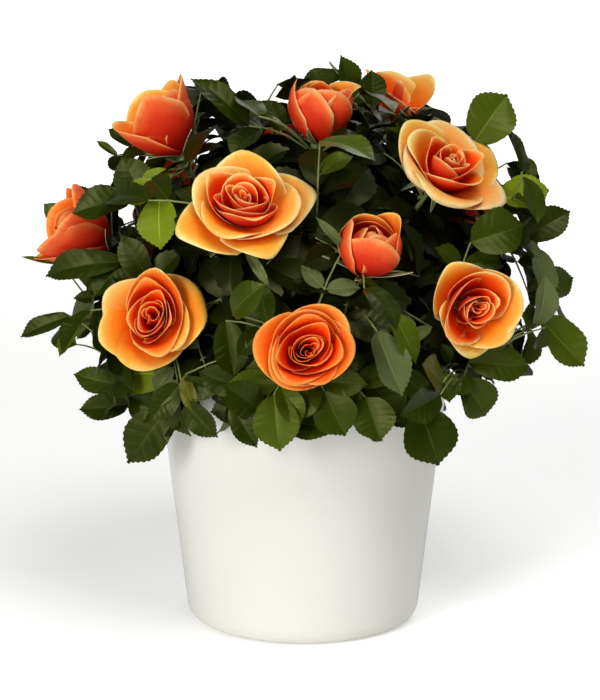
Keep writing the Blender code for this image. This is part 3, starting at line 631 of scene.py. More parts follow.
def compost_material():
    made = Nodes("compost", 0.95, (0.04, 0.027, 0.018))
    place = made.place()
    grain = made.noise(place, 700, 5, 0.7)
    patches = made.noise(place, 80, 3, 0.5)
    dark = made.ramp(grain, ((0.3, 0.012, 0.008, 0.005), (0.75, 0.085, 0.055, 0.035)))
    light = made.ramp(grain, ((0.3, 0.03, 0.02, 0.012), (0.75, 0.14, 0.095, 0.06)))
    return made.finish(made.blend(patches, dark, light), grain, 0.8, mm(0.6))


def paper_material():
    """White paper that glows for the camera, more where it is far from the pot."""
    made = Nodes("pale_paper", 0.8, (0.90, 0.90, 0.89), Emission_Color=(1, 1, 1, 1))
    away = made.add("ShaderNodeVectorMath", {0: made.place()}, operation="LENGTH")["Value"]
    glow = made.share(away, *PAPER_SPAN, *PAPER_GLOW, "SMOOTHSTEP")
    glow = made.maths("MULTIPLY", made.add("ShaderNodeLightPath", {})["Is Camera Ray"], glow)
    made.feed(made.shader, {"Emission Strength": made.maths("MAXIMUM", glow, PAPER_LIGHT)})
    return made.material


# ---------------------------------------------------------------- shoots and their space

class Shoot:
    """A shoot's path and its rose, if it has one. A side shoot starts on another at its fork."""

    def __init__(self, head, facing, mouth=0.0, height=0.0, openness=0.0, parent=None):
        self.head = mm(*head)
        self.facing = Vector(facing).normalized()
        self.mouth = mm(mouth)
        self.height = mm(height)
        self.openness = openness
        self.end = self.head - self.facing * self.height * HEAD_SHARE
        if parent:
            start, start_way = parent.at(FORK_SHARE)
            start_way = (start_way + (self.end - start).normalized()).normalized()
            self.leafy_from = 0.25
        else:
            start_way = ((self.end - KNUCKLE).normalized() + Vector((0, 0, 0.1))).normalized()
            start = KNUCKLE + start_way * (KNUCKLE_RADIUS + GAP)
            self.leafy_from = CANE_SHARE + 0.06
        self.path = self.curve_to_end(start, start_way)

    def curve_to_end(self, start, start_way):
        """Points along a curve that ends half turned to the way that the rose faces."""
        reach = (self.end - start).length
        end_way = (self.facing + (self.end - start).normalized()).normalized()
        b = start + start_way * reach * 0.40
        c = self.end - end_way * reach * 0.30
        points = []
        for step in range(PATH_STEPS + 1):
            t = step / PATH_STEPS
            point = start * (1 - t) ** 3 + b * 3 * t * (1 - t) ** 2
            points.append(point + c * 3 * t * t * (1 - t) + self.end * t**3)
        return points

    def at(self, share):
        """The point, and the way that the shoot runs, at a share of its path."""
        place = min(max(share, 0.0), 0.9999) * (len(self.path) - 1)
        i = int(place)
        way = self.path[i + 1] - self.path[i]
        return self.path[i] + way * (place - i), way.normalized()

    def stretch(self, first, last, count):
        """This many points between two shares of the path."""
        return [self.at(mix(first, last, i / (count - 1)))[0] for i in range(count)]

    def rose_holds(self, point):
        """True if a point is in the cup that the rose fills, or just outside it."""
        offset = point - self.end
        along = offset.dot(self.facing)
        if not self.mouth or not -ROSE_FOOT_ROOM < along < self.height + ROSE_LIP_ROOM:
            return False
        flare = min(max(along, 0) / (self.height * HEAD_SHARE), 1)
        reach = mix(ROSE_FOOT_ROOM, self.mouth + ROSE_LIP_ROOM, flare)
        return (offset - self.facing * along).length < reach

    def rose_place(self):
        """From the rose's own frame, with its hip at the origin and its axis on Z, to the plant's."""
        turn = self.facing.to_track_quat("Z", "Y").to_matrix().to_4x4()
        return np.array(Matrix.Translation(self.end) @ turn)


class Mass:
    """A mass of foliage: its shoots, and the space that it keeps."""

    def __init__(self, name, rows):
        self.name = name
        self.shoots = [Shoot(*rows[0])]
        for row in rows[1:]:
            self.shoots.append(Shoot(*row, parent=self.shoots[0]))
        for number, shoot in enumerate(self.shoots, 1):
            shoot.name = f"{name}_{number}"
            shoot.oval_turn = number + len(name) * 2.4
        self.core = []  # (point, radius) pairs: its space is what is nearer to these
        self.nodes = []  # the places on the shoots where a leaf can start
        self.leaves = Pile()
        self.stalks = Pile()
        for shoot in self.shoots:
            self.core += [(point, 0.0) for point in shoot.stretch(CANE_SHARE, 1, 9)]
            if shoot.mouth:
                self.core.append((shoot.head, shoot.mouth * 0.8))
            self.nodes += shoot.stretch(shoot.leafy_from, 0.92, 44)

    def distance(self, point):
        return min((point - spot).length - radius for spot, radius in self.core)

    def nearest_node(self, point):
        return min(self.nodes, key=lambda node: (node - point).length)


class Crown:
    """All the masses, and where the leaflets stand so far."""

    def __init__(self):
        self.masses = [Mass(name, rows) for name, rows in MASSES]
        self.roses = [shoot for mass in self.masses for shoot in mass.shoots if shoot.mouth]
        self.middles = []

    def owner(self, point):
        return min(self.masses, key=lambda mass: mass.distance(point))

    def is_spread(self, middle, spread):
        if not self.middles:
            return True
        away = np.array(self.middles) - np.array(middle)
        return (away * away).sum(axis=1).min() > spread * spread

    def hides_a_rose(self, points):
        """True if a point is before the face of a rose, or between a rose and the front."""
        for shoot in self.roses:
            ways = [shoot.facing]
            if shoot.head.y < 0:
                ways.append((VIEWPOINT - shoot.head).normalized())
            for point in points:
                offset = point - shoot.head
                for way in ways:
                    along = offset.dot(way)
                    is_near = (offset - way * along).length < shoot.mouth * ROSE_CLEARANCE
                    if is_near and along > -shoot.height * ROSE_DEPTH:
                        return True
        return False

    def is_in_a_rose(self, spots):
        return any(shoot.rose_holds(spot) for shoot in self.roses for spot in spots)

    def has_clear_stalk(self, start, foot):
        """True if a stalk runs through no rose, and before none."""
        spots = [start.lerp(foot, share) for share in (0.3, 0.6, 0.9)]
        return not self.is_in_a_rose(spots) and not self.hides_a_rose(spots)

    def takes(self, blade, spread):
        """True if a leaflet grown by the rule may stand here."""
        return (
            self.is_spread(blade.middle, spread)
            and max(crown_share(spot) for spot in blade.outline()) < 1
            and not self.is_in_a_rose(blade.outline())
            and not self.hides_a_rose(blade.outline())
            and not is_in_pot(blade.tip)
            and not is_in_pot(blade.middle)
            and not any(shows_sky(spot) for spot in blade.outline())
        )


def shows_sky(point):
    """True if the point is before or behind one of the gaps in the crown."""
    for x, z, radius in SKY_GAPS:
        middle = mm(x, 0, z)
        way = (VIEWPOINT - middle).normalized()
        offset = point - middle
        if (offset - way * offset.dot(way)).length < mm(radius):
            return True
    return False


def crown_share(point):
    """0 at the crown's centre, and 1 on its rounded outline."""
    offset = point - CROWN_CENTRE
    shares = [abs(offset[i]) / CROWN_RADII[i] for i in range(3)]
    return sum(share**CROWN_POWER for share in shares) ** (1 / CROWN_POWER)


def pot_radius(height):
    """The pot's outer radius at a height."""
    return mix(POT_FOOT_RADIUS, POT_RIM_RADIUS, height / POT_HEIGHT)


def is_in_pot(point):
    """True if a point is inside the pot's rim, or in its wall."""
    is_low = point.z < POT_HEIGHT + mm(2)
    return is_low and math.hypot(point.x, point.y) < pot_radius(point.z) + mm(2)


# ---------------------------------------------------------------- leaves

class Leaflet:
    """A leaflet's place: its foot and tip, the way its upper side looks, and its width."""

    def __init__(self, foot, tip, face, width):
        self.foot = foot
        self.tip = tip
        self.face = face
        self.width = width
        self.middle = foot.lerp(tip, LEAFLET_WAIST)

    def outline(self):
        """Spots on its edge and midrib, to test where it would stand."""
        across = frame_of(self.tip - self.foot, self.face) @ Vector((0, self.width / 2, 0))
        corners = (self.foot, self.middle + across, self.tip, self.middle - across)
        edges = [corners[i].lerp(corners[(i + 1) % 4], 0.5) for i in range(4)]
        return [*corners[1:], *edges, self.middle]


def blade_template(veins, columns):
    """A leaflet of unit length and width, as rows from foot to tip that run out along the veins:
    its station, its share across from -0.5 to 0.5, and its height, quilted between the veins."""
    rows = veins * 3 + 1
    row, across = np.meshgrid(np.arange(rows), np.array(columns), indexing="ij")
    share = row / (rows - 1)
    slant = 0.15 * np.abs(across) * np.sin(np.pi * share)
    is_tooth = (np.abs(across) == 1) & (row % 2 == 1)
    tooth = np.where(is_tooth, 0.4 / rows, 0.0)
    station = np.clip(share + slant + tooth, 0, 1)
    half = np.sin(np.pi * share**0.72) ** (0.58 + 0.95 * share)
    side = across * 0.5 * np.maximum(half, 0.02) + np.sign(across) * tooth * 1.3
    body = (np.abs(across) > 0.1) & (np.abs(across) < 1)
    crown = np.where(row % 3 == 0, -0.006, 0.007) * np.sin(np.pi * share)
    groove = np.where(np.abs(across) < 0.1, -0.012, 0.0)
    return station, side, np.where(body, crown, 0.0) + groove


FINE_BLADE = blade_template(FINE_VEINS, (-1, -0.72, -0.40, -0.035, 0.035, 0.40, 0.72, 1))
COARSE_BLADE = blade_template(COARSE_VEINS, (-1, -0.035, 0.035, 1))


def add_blade(pile, leaflet, colour, chance):
    """A toothed blade, folded along its midrib and drooping to its tip, with an under side."""
    colour = list(LEAF_COLOURS).index(colour)
    is_fine = crown_share(leaflet.middle) > FINE_FROM
    station, side, quilt = FINE_BLADE if is_fine else COARSE_BLADE
    along = leaflet.tip - leaflet.foot
    length = along.length
    fold = chance.uniform(0.10, 0.48)
    droop = chance.uniform(0.0, 0.9)
    twist = chance.uniform(-0.25, 0.25)
    wave = chance.uniform(0, 6.3)
    y = side * leaflet.width
    z = np.abs(y) * fold + quilt * length
    z = z + length * droop * (0.25 - (station - 0.5) ** 2) * 0.6
    z = z + np.sin(station * 7 + wave) * side**2 * length * 0.16 + y * twist * station
    turn = np.array(frame_of(along, leaflet.face))
    points = np.stack([station * length, y, z], axis=-1) @ turn.T + np.array(leaflet.foot)
    faces = grid_faces(*station.shape)
    last = station.shape[1] - 1
    is_rib = np.arange(len(faces)) % last == last // 2
    pile.add(points, faces[~is_rib], colour * 3)
    pile.add_faces(faces[is_rib], colour * 3 + 2)
    below = points[:, [0, last // 2, last // 2 + 1, last]] - turn[:, 2] * LEAFLET_THICKNESS
    below[:, [0, 3]] += turn[:, 2] * LEAFLET_THICKNESS * 0.9
    pile.add(below, flipped(grid_faces(len(station), 4)), colour * 3 + 1)


def leaf_face(point, forwards=0.0):
    """The way that a leaf's upper side looks: outwards and up, and forwards where asked."""
    out = (point - CROWN_CENTRE).normalized()
    return (out * 0.8 + Vector((0, -forwards, 0.7))).normalized()


def add_leaf(crown, mass, node, blade, side_size, colour, chance):
    """A leaf on its stalk, from its node on the shoot: this blade, and pairs behind it, each
    where it fits."""
    heading = (blade.foot - node).normalized()
    across = heading.cross(blade.face).normalized()
    reach = (blade.foot - node).length
    sag = Vector((0, 0, reach * 0.10))
    shares = [step / 5 for step in range(6)]
    stalk = [node.lerp(blade.foot, t) + sag * math.sin(math.pi * t) for t in shares]
    add_tube(mass.stalks, stalk, [mix(1.5, 0.8, t) * LEAF_STALK_RADIUS for t in shares], 5)
    add_blade(mass.leaves, blade, colour, chance)
    crown.middles.append(tuple(blade.middle))
    for number, place in enumerate(PAIR_PLACES):
        if number and reach < PAIR_MIN_STALK:
            continue
        pair_foot = node.lerp(blade.foot, place) + sag * math.sin(math.pi * place)
        for side in (-1, 1):
            way = (heading * 0.55 + across * side + Vector((0, 0, -0.12))).normalized()
            length = LEAFLET_LENGTH * side_size * chance.uniform(0.82, 1.0)
            length *= 0.8 if number else 1.0
            foot = pair_foot + way * mm(1.2)
            face = (blade.face + jitter(chance, 0.3)).normalized()
            other = Leaflet(foot, foot + way * length, face, length * LEAFLET_WIDTH)
            if crown.takes(other, LEAF_SPREAD * 0.75):
                add_tube(mass.stalks, [pair_foot, foot + way * mm(0.6)], [mm(0.4), mm(0.35)], 4)
                add_blade(mass.leaves, other, colour, chance)
                crown.middles.append(tuple(other.middle))


def leaf_places():
    """Even places over the crown on a golden spiral, at a few depths in turn."""
    for i in range(LEAVES):
        height = 1 - 2 * (i + 0.5) / LEAVES
        reach = math.sqrt(1 - height * height)
        turn = i * GOLDEN_ANGLE
        way = Vector((reach * math.cos(turn), reach * math.sin(turn), height))
        way = Vector([way[axis] * CROWN_RADII[axis] for axis in range(3)])
        depth = LEAF_DEPTHS[i % len(LEAF_DEPTHS)]
        yield CROWN_CENTRE + way * (depth / crown_share(CROWN_CENTRE + way))


def deal_colour(chance):
    """The name of a spray's colour, dealt out by the colours' shares."""
    shares = [share for upper, under, share in LEAF_COLOURS.values()]
    return chance.choices(list(LEAF_COLOURS), shares)[0]


def grow_leaf(crown, place, chance):
    """One leaf, with the middle of its end leaflet near this place. The blades lie along the
    crown's outside, and droop. It tries a few ways to lie until one fits."""
    for attempt in range(LEAF_TRIES):
        middle = place + jitter(chance, 1) * mm(min(attempt, 14))
        mass = crown.owner(middle)
        node = mass.nearest_node(middle)
        out = (middle - CROWN_CENTRE).normalized()
        heading = (middle - node).normalized()
        along = heading - out * heading.dot(out) * 0.7 + Vector((0, 0, -LEAF_DROOP))
        swing = (attempt * 0.618 + 0.5) % 1 - 0.5
        along.rotate(Matrix.Rotation(swing * LEAF_SWING, 3, out))
        along.normalize()
        length = LEAFLET_LENGTH * chance.uniform(0.80, 1.08)
        foot = middle - along * length * LEAFLET_WAIST
        face = (leaf_face(middle) + jitter(chance, 0.35)).normalized()
        blade = Leaflet(foot, foot + along * length, face, length * LEAFLET_WIDTH)
        if (foot - node).length < LEAF_STALK * 1.2 or not crown.takes(blade, LEAF_SPREAD):
            continue
        if crown.has_clear_stalk(node, foot):
            # Leaves inside the crown take the inner colour, which is painted shade.
            colour = deal_colour(chance) if crown_share(middle) > SHADE_DEPTH else "inner"
            add_leaf(crown, mass, node, blade, 0.85, colour, chance)
            return


def grow_outline_leaves(crown, chance):
    for *ends, width, colour in OUTLINE_LEAFLETS:
        colour = colour or chance.choice(OUTLINE_COLOURS)
        foot, tip = mm(*ends[:3]), mm(*ends[3:])
        blade = Leaflet(foot, tip, leaf_face(foot, 1.1), mm(width))
        nodes = [(mass, node) for mass in crown.masses for node in mass.nodes]
        nodes.sort(key=lambda pair: (pair[1] - foot).length)
        mass, node = next(pair for pair in nodes if crown.has_clear_stalk(pair[1], foot))
        side_size = min(0.8, (tip - foot).length / LEAFLET_LENGTH)
        add_leaf(crown, mass, node, blade, side_size, colour, chance)


# ---------------------------------------------------------------- roses

class Petal:
    """One petal of a rose: its rank from 0 at the heart to 1 outside, the way it stands, and the
    shape that this gives it."""

    def __init__(self, shoot, rank, turn, chance, reach=1.0, roll=None, tip=None, skew=None):
        traits = TRAITS.get(shoot.name, Traits())
        flare = traits.flare * smooth(CUP_RANK - 0.1, CUP_RANK + 0.15, rank)
        is_open = smooth(0.3, 0.6, shoot.openness)
        opening = shoot.openness**1.6 * smooth(CUP_RANK - 0.05, 1.0, rank)
        core = shoot.mouth * mix(*CORE_SHARES, shoot.openness)
        if rank < CUP_RANK:
            self.mouth = mix(HEART_MOUTH, core, (rank / CUP_RANK) ** 1.15)
            self.mouth *= 1 + chance.uniform(-0.07, 0.07) * is_open
            room = mix(*CUP_ROOM, rank / CUP_RANK)
        else:
            share = (rank - CUP_RANK) / (1 - CUP_RANK)
            self.mouth = mix(core, shoot.mouth, share) * mix(1, reach, is_open)
            room = mix(OUTER_ROOM[0], mix(*OUTER_ROOM[1:], shoot.openness), share)
        self.mouth *= 1 + flare / FLARE_SPREAD
        self.rank = rank
        self.turn = turn
        lean = mix(2, 11, rank * shoot.openness) + 42 * opening + flare / 2
        end_lean = mix(-62, 10, smooth(0, 0.8, shoot.openness)) + 82 * opening + flare
        self.leans = (  # degrees from upright at its foot, between, and at its lip
            mix(30, 66, rank**0.6) + 6 * opening,
            lean + chance.uniform(-2, 2),
            end_lean + chance.uniform(-5, 5),
        )
        if roll is None:
            roll = chance.uniform(0.7, 1.3) * (10 + 50 * smooth(0.20, 0.6, rank)) * shoot.openness
        if tip is None:
            tip = chance.uniform(0.6, 1.1) * smooth(0.10, 0.40, rank)
        self.roll = roll
        self.roll_from = mix(0.90, 0.72, rank)
        low, high = (0.80, 1.0) if shoot.openness >= 0.5 or rank > CUP_RANK else (0.74, 0.94)
        self.length = shoot.height * mix(low, high, smooth(0, 0.5, rank)) * (1 + 0.30 * opening)
        self.length *= chance.uniform(0.95, 1.04) * mix(reach, 1, 0.3 * is_open)
        self.foot = mm(0.4) + mm(0.8) * rank
        self.width = max(self.mouth * room, mm(4)) * chance.uniform(0.94, 1.08)
        self.flatness = mix(1.04, 1.5, opening)
        self.pointed = mix(2.4, 1.3, tip)
        self.shoulder = mix(0.28, 0.50, tip)
        self.curl = mm(3.5) * mix(0.10, 1, opening)
        self.spiral = mm(mix(0.8, 1.8, rank))
        self.aside = [mm(chance.uniform(-2.2, 2.2)) * (1 - rank) * is_open for axis in range(2)]
        self.oval = 0.15 * is_open * (1 - smooth(0.4, 0.9, rank))
        self.oval_turn = shoot.oval_turn
        self.wave = chance.uniform(0, math.tau)
        self.skew = chance.uniform(-0.08, 0.08) if skew is None else skew
        self.warmth = smooth(0.55, 0.85, rank) * (1 + chance.random() ** 1.5) * traits.fading
        self.paling = traits.paling
        self.rows = self.columns = 13 if rank < 0.4 else 17

    def meridian(self):
        """(station, radius, height, lean) along the petal's middle line, as arrays."""
        steps = 60
        v = (np.arange(steps) + 0.5) / steps
        lean = (1 - v) ** 2 * self.leans[0] + 2 * v * (1 - v) * self.leans[1] + v * v * self.leans[2]
        step = self.length / steps
        spread = np.cumsum(np.sin(np.radians(lean)) * step).max()
        lean = np.radians(lean + self.roll * smooth(self.roll_from, 1.0, v))
        out = np.concatenate([[0], np.cumsum(np.sin(lean) * step)])
        radius = self.foot + out * (self.mouth - self.foot) / spread
        height = mm(0.5) + np.concatenate([[0], np.cumsum(np.cos(lean) * step)])
        return np.linspace(0, 1, steps + 1), radius, height, np.concatenate([lean[:1], lean])

    def grid(self):
        """The petal's middle surface, as a (rows, columns, 3) array, with its place across, and
        how near its edge it is."""
        u = np.linspace(-1, 1, self.columns)[None, :]
        row = np.linspace(0, 1, self.rows)[:, None] ** 0.85
        reach = row * (1 - self.shoulder * np.abs(u + self.skew) ** self.pointed)
        stations, *profile = self.meridian()
        r, z, a = [np.interp(reach, stations, values) for values in profile]
        half = self.width * (0.30 + 0.70 * np.sin(np.pi / 2 * np.clip(reach / 0.62, 0, 1)))
        bend = np.maximum(r, mm(1.2)) * self.flatness
        sweep = u * half / bend
        curl = self.curl * np.abs(u) ** 3 * reach**2
        wave = np.sin(u * 4 + self.wave) * reach**4 * mm(0.9) * (0.2 + self.rank)
        push = curl + wave + self.spiral * u
        r = r + push * np.cos(a)
        z = z - push * np.sin(a)
        outward = r - bend * (1 - np.cos(sweep))
        sideways = bend * np.sin(sweep)
        x = outward * math.cos(self.turn) - sideways * math.sin(self.turn)
        y = outward * math.sin(self.turn) + sideways * math.cos(self.turn)
        cos, sin = math.cos(self.oval_turn), math.sin(self.oval_turn)
        long, short = (x * cos + y * sin) * (1 + self.oval), (y * cos - x * sin) * (1 - self.oval)
        x = long * cos - short * sin + self.aside[0] * row
        y = long * sin + short * cos + self.aside[1] * row
        near_edge = row + (1 - row) * np.abs(u) ** 9 * smooth(0.25, 0.6, row)
        return np.stack([x, y, z + 0 * u], axis=-1), u + 0 * row, near_edge


def sheet_normals(grid):
    """Unit normals of a grid of points, which look to the petal's outer side."""
    normals = np.cross(np.gradient(grid, axis=1), np.gradient(grid, axis=0))
    return normals / np.maximum(np.linalg.norm(normals, axis=-1, keepdims=True), 1e-12)


def add_petal(pile, petal, place, cell, cells):
    """A petal as a thin closed shell. Its front and its back each get a cell of the atlas."""
    middle, u, near_edge = petal.grid()
    across = (u + 1) / 2
    down = np.linspace(0, 1, len(u))[:, None] + 0 * u
    edge = np.maximum(np.abs(u), down**2)
    half = sheet_normals(middle) * (PETAL_THICKNESS / 2 * (1 - 0.6 * edge**4)[..., None])
    maps = []
    for side in (0, 1):
        row, column = divmod(cell * 2 + side, cells)
        local = np.stack([across, down], axis=-1)
        maps.append({
            "OFBake": np.array([column, row]) / cells + (local * 0.92 + 0.04) / cells,
            "petal": np.stack([across, near_edge * petal.paling], axis=-1),
            "kind": np.stack([0 * u + petal.warmth, 0 * u + side], axis=-1),
        })
    pile.add_shell((middle - half, middle + half), place, maps)


def rose_petals(shoot, chance):
    """A rose's petals, from its heart outwards: a tight spiral, a cup, and the spread petals
    round it, which the roses at the front have in places of their own."""
    start = chance.uniform(0, math.tau)
    guards = GUARD_PETALS.get(shoot.name, ())
    is_open = shoot.openness >= 0.5
    ranks = OPEN_RANKS if is_open else BUD_RANKS
    if guards:
        ranks = [rank for rank in ranks if rank <= TRAITS[shoot.name].cups]
    else:
        ranks += OPEN_OUTER_RANKS if is_open else BUD_OUTER_RANKS
    petals = []
    for k, rank in enumerate(ranks):
        turn = start + k * GOLDEN_ANGLE + chance.uniform(-0.3, 0.3)
        petals.append(Petal(shoot, rank, turn, chance))
    for turn, rank, *shape in guards:
        petals.append(Petal(shoot, rank, math.radians(turn), chance, *shape))
    return petals


def grow_rose(shoot, chance):
    petals = rose_petals(shoot, chance)
    pile = Pile()
    cells = math.ceil(math.sqrt(len(petals) * 2))
    for k, petal in enumerate(petals):
        add_petal(pile, petal, shoot.rose_place(), k, cells)
    return pile


def add_hip(pile, shoot, chance):
    """The green hip under a rose, with its five sepals."""
    place = shoot.rose_place()
    heights = np.linspace(-HIP_LENGTH, mm(0.3), 8)
    shares = [min(1, (h + HIP_LENGTH) / mm(6.6)) for h in heights]
    radii = [HIP_WAIST + HIP_BULGE * math.sin(math.pi * share) for share in shares]
    points = [tuple(place[:3, :3] @ np.array((0, 0, h)) + place[:3, 3]) for h in heights]
    add_tube(pile, points, radii, 10)
    for k in range(SEPALS):
        turn = k * math.tau / SEPALS + 0.4
        if shoot.openness < 0.5:
            radius, height = clinging_profile(shoot, chance)
        else:
            radius, height = spread_profile(mix(105, 130, chance.random()), chance)
        add_sepal(pile, place, turn, radius, height)


def clinging_profile(shoot, chance):
    """(radius, height) along a sepal that lies on a bud, and leaves it towards its tip."""
    outermost = Petal(shoot, 1.0, 0.0, chance, 1.0, 0)
    v = np.linspace(0.0, chance.uniform(0.42, 0.60), SEPAL_ROWS)
    away = mm(1.6) + mm(chance.uniform(2, 9)) * np.linspace(0, 1, SEPAL_ROWS) ** 3
    stations, *profile = outermost.meridian()
    radius, height, lean = [np.interp(v, stations, values) for values in profile]
    return radius + away * np.cos(lean), height - away * np.sin(lean)


def spread_profile(lean, chance):
    """(radius, height) along a sepal that has folded out, and curls at its tip."""
    s = np.linspace(0, 1, SEPAL_ROWS)
    angle = np.radians(lean * smooth(0.0, 0.5, s) + 25 * s)
    step = mm(chance.uniform(15, 20)) / (SEPAL_ROWS - 1)
    radius = mm(2.6) + np.concatenate([[0], np.cumsum(np.sin(angle[1:]) * step)])
    height = mm(1.5) + np.concatenate([[0], np.cumsum(np.cos(angle[1:]) * step)])
    return radius, height


def add_sepal(pile, place, turn, radius, height):
    """A narrow sepal along this profile, hollowed along its middle."""
    s = np.linspace(0, 1, SEPAL_ROWS)
    half = SEPAL_WIDTH / 2 * (1 - s) ** 0.75 * (0.75 + 0.5 * s)
    half[-1] = mm(0.15)
    c = np.array(SEPAL_COLUMNS)[None, :]
    r = radius[:, None] - np.abs(c) ** 2 * mm(0.6) * (1 - s[:, None])
    x = r * math.cos(turn) - c * half[:, None] * math.sin(turn)
    y = r * math.sin(turn) + c * half[:, None] * math.cos(turn)
    grid = np.stack([x, y, height[:, None] + 0 * c], axis=-1)
    push = sheet_normals(grid) * (SEPAL_THICKNESS / 2)
    pile.add_shell((grid - push, grid + push), place, has_edge=True)


# ---------------------------------------------------------------- stems

def add_thorn(pile, point, way, size):
    """A small hooked thorn."""
    tip = point + way * size + Vector((0, 0, -size * 0.35))
    bend = point.lerp(tip, 0.5) + Vector((0, 0, size * 0.12))
    add_tube(pile, [point - way * mm(0.4), bend, tip], [size * 0.34, size * 0.17, mm(0.05)], 6)


def add_limb(pile, points, first_radius, last_radius, chance, thorns, sides):
    """A stem with swollen nodes, a slightly rough skin and thorns."""
    count = len(points)
    s = np.linspace(0, 1, count)
    radii = np.linspace(first_radius, last_radius, count)
    radii = radii * (1 + 0.14 * np.exp(-(((s * 3.5) % 1 - 0.5) ** 2) / 0.006))
    bumps = [[chance.uniform(-0.05, 0.05) for side in range(sides)] for row in range(count)]
    add_tube(pile, points, radii, sides, np.array(bumps))
    for k in range(thorns):
        i = 2 + int((count - 5) * (k + chance.random()) / thorns)
        way = (points[i + 1] - points[i]).normalized()
        side = way.orthogonal().normalized()
        side.rotate(Matrix.Rotation(chance.uniform(0, math.tau), 3, way))
        add_thorn(pile, points[i] + side * radii[i] * 0.8, side, mm(chance.uniform(1.8, 3.0)))


def grow_main_stem(chance):
    """The woody stem, ribbed and knobbly, from its flat cut on the soil to its knuckle."""
    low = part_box("main_stem")[0].z
    shoulder = mix(STEM_WAIST, STEM_FLARE, 0.35)
    profile = [(STEM_FLARE, low), (shoulder, low + mm(3)), (STEM_WAIST, low + mm(7))]
    for step in range(4, -1, -1):
        turn = math.radians(28) * step
        radius = max(KNUCKLE_RADIUS * math.sin(turn), mm(0.4))
        profile.append((radius, KNUCKLE.z + KNUCKLE_RADIUS * math.cos(turn)))
    heights = np.array([h for r, h in profile])
    fine = np.linspace(heights[0], heights[-1] - mm(0.2), STEM_ROWS)
    radii = np.interp(fine, heights, [r for r, h in profile])
    turn = np.arange(STEM_SIDES) * math.tau / STEM_SIDES
    bumps = []
    for h in fine:
        ribs = 0.05 * np.sin(turn * 7 + h * 160) + 0.035 * np.sin(turn * 13 - h * 420)
        bumps.append(ribs + 0.03 * np.array([chance.uniform(-1, 1) for side in turn]))
    pile = Pile()
    add_tube(pile, [(0, 0, h) for h in fine], radii, STEM_SIDES, np.array(bumps) * 0.8)
    return pile


def grow_canes(masses, chance):
    pile = Pile()
    for mass in masses:
        points = mass.shoots[0].stretch(0, CANE_SHARE, 26)
        points[0] = points[0].lerp(KNUCKLE, 0.12)
        add_limb(pile, points, CANE_FOOT_RADIUS * 1.1, CANE_END_RADIUS, chance, 4, 12)
    return pile


def add_shoots(mass, chance):
    """The leafy end of a cane, and its side shoots."""
    main, *sides = mass.shoots
    points = main.stretch(CANE_SHARE, 1, 26)
    add_limb(mass.stalks, points, CANE_END_RADIUS, SHOOT_END_RADIUS, chance, 3, 8)
    for side in sides:
        points = side.stretch(0, 1, 24)
        add_limb(mass.stalks, points, SIDE_SHOOT_RADIUS, SHOOT_END_RADIUS * 0.9, chance, 2, 8)


# ---------------------------------------------------------------- pot and compost

def turned_grid(profile, steps):
    """The rings that a profile of (radius, height) pairs makes as it is turned."""
    turn = np.arange(steps) * math.tau / steps
    profile = np.array(profile)
    x = profile[:, :1] * np.cos(turn)
    y = profile[:, :1] * np.sin(turn)
    return np.stack([x, y, profile[:, 1:] + 0 * x], axis=-1)


def make_pot():
    """The pot turned again, in finer steps, with a softer rim and foot."""
    lip = POT_WALL / 2
    corner = pot_radius(POT_FLOOR) - POT_WALL
    profile = [(mm(0.5), POT_FLOOR), (corner - POT_INNER_ROUND, POT_FLOOR)]
    for step in range(1, 5):
        turn = math.pi / 8 * step
        radius = corner - POT_INNER_ROUND * (1 - math.sin(turn))
        profile.append((radius, POT_FLOOR + POT_INNER_ROUND * (1 - math.cos(turn))))
    for step in range(1, 9):
        height = mix(POT_FLOOR + POT_INNER_ROUND, POT_HEIGHT - lip, step / 9)
        profile.append((pot_radius(height) - POT_WALL, height))
    for step in range(13):
        turn = math.pi * (1 - step / 12)
        radius = POT_RIM_RADIUS - lip + lip * math.cos(turn)
        profile.append((radius, POT_HEIGHT - lip + lip * math.sin(turn)))
    for step in range(1, 13):
        height = mix(POT_HEIGHT - lip, POT_FOOT_ROUND, step / 13)
        profile.append((pot_radius(height), height))
    for step in range(11):
        turn = math.pi / 2 * step / 10
        radius = pot_radius(POT_FOOT_ROUND) - POT_FOOT_ROUND * (1 - math.cos(turn))
        profile.append((radius, POT_FOOT_ROUND * (1 - math.sin(turn))))
    profile.append((mm(0.5), 0))
    pile = Pile()
    pile.add_closed(turned_grid(profile, POT_STEPS), inside_out=True)
    return pile


def make_compost(chance):
    """The compost's body, with crumbs on it."""
    clearance = POT_WALL + SOIL_GAP
    low, reach = POT_FLOOR + GAP, pot_radius(SOIL_TOP) - clearance
    profile = [(mm(0.3), low), (pot_radius(POT_FLOOR) - clearance - POT_INNER_ROUND, low)]
    profile.append((reach, SOIL_TOP - mm(1)))
    for ring in range(SOIL_RINGS):
        profile.append(((reach - mm(0.5)) * (1 - ring / SOIL_RINGS) + mm(0.3), SOIL_TOP))
    grid = turned_grid(profile, SOIL_STEPS)
    for row in range(3, len(profile)):
        for step in range(SOIL_STEPS):
            grid[row, step, 2] += chance.uniform(-mm(1.2), mm(0.7))
    pile = Pile()
    pile.add_closed(grid)
    for k in range(CRUMBS):
        turn = chance.uniform(0, math.tau)
        away = math.sqrt(chance.random()) * (reach - mm(4))
        if away < STEM_FLARE + mm(2):
            continue
        size = mm(chance.uniform(0.7, 2.4))
        centre = Vector((away * math.cos(turn), away * math.sin(turn), SOIL_TOP + size * 0.2))
        stretch = [size * chance.uniform(0.5, 1.5), size * chance.uniform(0.4, 0.9), size * 0.5]
        add_crumb(pile, centre, stretch, chance)
    return pile


